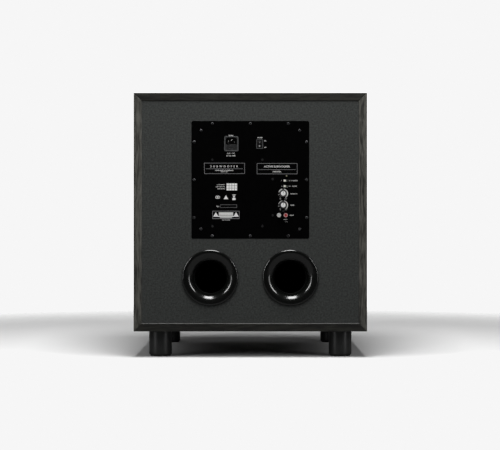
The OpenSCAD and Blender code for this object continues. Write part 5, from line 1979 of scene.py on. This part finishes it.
@dataclass
class Softbox:
    """One rectangular light, aimed at a point."""

    name: str
    spot: Triple
    aim: Triple
    size: tuple[float, float]
    power: float

    def build(self) -> None:
        """Makes the light."""
        data = bpy.data.lights.new(self.name, "AREA")
        data.shape, data.size, data.size_y, data.energy = "RECTANGLE", *self.size, self.power
        lamp = linked(self.name, data)
        lamp.location = self.spot
        lamp.rotation_euler = (
            Vector(self.aim) - Vector(self.spot)
        ).to_track_quat("-Z", "Y").to_euler()


@dataclass
class Studio:
    """Pale floor that fades into a pale surround, soft lights and the camera."""

    distance: float = 3.2
    stand_off: float = 0.0125
    sensor_mm: float = 36.0
    sight: float = 60.0
    eye: float = 0.2872
    lens_per_metre: float = 33.3
    side: float = 0.0007
    floor_half: float = 6.0
    floor_clear: tuple[float, float] = (0.9, 2.0)
    paper_glow: float = 0.12
    paper_seen: float = 0.8
    surround: float = 1.3
    fill: float = 0.02
    white: float = 0.922

    def camera(self) -> None:
        """Looks level at the back from behind. The lens is as long as the distance asks for."""
        data = bpy.data.cameras.new("camera")
        data.sensor_width = self.sensor_mm
        data.lens = self.lens_per_metre * self.distance
        data.clip_end = self.sight
        eye = linked("camera", data)
        eye.location = (self.side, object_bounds()[1][1] - self.stand_off + self.distance, self.eye)
        eye.rotation_euler = (math.pi / 2, 0.0, math.pi)
        bpy.context.scene.camera = eye

    def floor(self) -> None:
        """A level sheet, as a grid, that takes the shadow the lights cast. It is clear from below,
        fades to nothing well away from the object, and throws less light back at the object than it
        shows."""
        line = np.linspace(-self.floor_half, self.floor_half, 25)
        x, y = np.meshgrid(line, line, indexing="xy")
        shell = surface(np.stack([x, y, np.zeros_like(x)], -1))
        shade = Shade("studio_floor")
        far = (shade.along("X") ** 2.0 + shade.along("Y") ** 2.0) ** 0.5
        seen = shade.wire("ShaderNodeLightPath", out="Is Camera Ray")
        tint = shade.blend(seen, (self.paper_glow,) * 3, (self.paper_seen,) * 3)
        paper = shade.wire("ShaderNodeBsdfDiffuse", {}, {"Color": tint})
        clear = shade.wire("ShaderNodeBsdfTransparent")
        below = shade.wire("ShaderNodeNewGeometry", out="Backfacing")
        fade = shade.math("MAXIMUM", far.between(*self.floor_clear), below)
        mixed = shade.wire("ShaderNodeMixShader", {}, {0: fade, 1: paper, 2: clear})
        shade.node("ShaderNodeOutputMaterial", {}, {"Surface": mixed})
        mesh = bpy.data.meshes.new("studio_floor")
        mesh.from_pydata(shell.points, [], shell.faces)
        mesh.materials.append(shade.material)
        linked("studio_floor", mesh)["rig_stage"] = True

    def air(self) -> None:
        """A pale surround to look at, which lights the object only a little."""
        world = bpy.data.worlds.new("studio")
        world.use_nodes = True
        tree = world.node_tree
        tree.nodes.clear()
        out = tree.nodes.new("ShaderNodeOutputWorld")
        mix = tree.nodes.new("ShaderNodeMixShader")
        ray = tree.nodes.new("ShaderNodeLightPath")
        for slot, strength in ((1, self.fill), (2, self.surround)):
            back = tree.nodes.new("ShaderNodeBackground")
            back.inputs["Color"].default_value = (1.0, 1.0, 1.0, 1.0)
            back.inputs["Strength"].default_value = strength
            tree.links.new(back.outputs[0], mix.inputs[slot])
        tree.links.new(ray.outputs["Is Camera Ray"], mix.inputs[0])
        tree.links.new(mix.outputs[0], out.inputs["Surface"])
        bpy.context.scene.world = world

    def exposure(self) -> None:
        """A plain straight tone curve that ends just under full white, where the floor and surround
        meet."""
        settings = bpy.context.scene.view_settings
        settings.view_transform, settings.look = "Standard", "None"
        settings.use_curve_mapping = True
        tone = settings.curve_mapping
        tone.extend = "HORIZONTAL"
        tone.curves[3].points[1].location = (1.0, self.white)
        for point in tone.curves[3].points:
            point.handle_type = "VECTOR"
        tone.update()

    def build(self) -> None:
        """Sets the studio up."""
        self.camera()
        self.floor()
        self.air()
        self.exposure()
        aim = (0.0, 0.1, 0.3)
        for light in (
            Softbox("ceiling", (0.0, 0.6, 1.8), (0.0, 0.3, 0.0), (0.7, 1.5), 46.0),
            Softbox("overhead_strip", (0.0, 0.5, 2.0), (0.0, 0.3, 0.2), (1.0, 0.1), 4.0),
            Softbox("left_strip", (1.8, 1.4, 1.1), aim, (0.2, 1.1), 14.0),
            Softbox("left_low_strip", (1.75, 1.4, 0.2), aim, (0.25, 0.5), 2.2),
            Softbox("right_strip", (-1.75, 1.45, 1.1), aim, (0.2, 1.1), 13.0),
            Softbox("right_low_strip", (-1.7, 1.45, 0.2), aim, (0.25, 0.5), 2.2),
            Softbox("front_box", (0.9, -2.6, 1.6), aim, (1.2, 1.4), 6.0),
        ):
            light.build()


# ---------------------------------------------------------------- build


def main() -> None:
    """Builds the studio and every sub-assembly."""
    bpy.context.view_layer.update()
    bpy.context.scene.render.film_transparent = False
    Studio().build()
    plate = AmplifierPlate()
    Cabinet().build()
    Lining().build()
    Feet().build()
    Ports().build()
    Woofer().build()
    WooferScrews().build()
    Grille().build()
    sharpened("grille_sockets", "peg_sockets", Palette.RUBBER, Home(slot="black_rubber"), 0.3 * MM)
    plate.build()
    face = plate.plate()
    Electronics().build(face)
    MainsInlet().build()
    PowerSwitch().build()
    SignalControls().build(face)
    PanelPrint().build(face)
    Wiring().build()


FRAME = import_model()

if __name__ == "__main__":
    main()
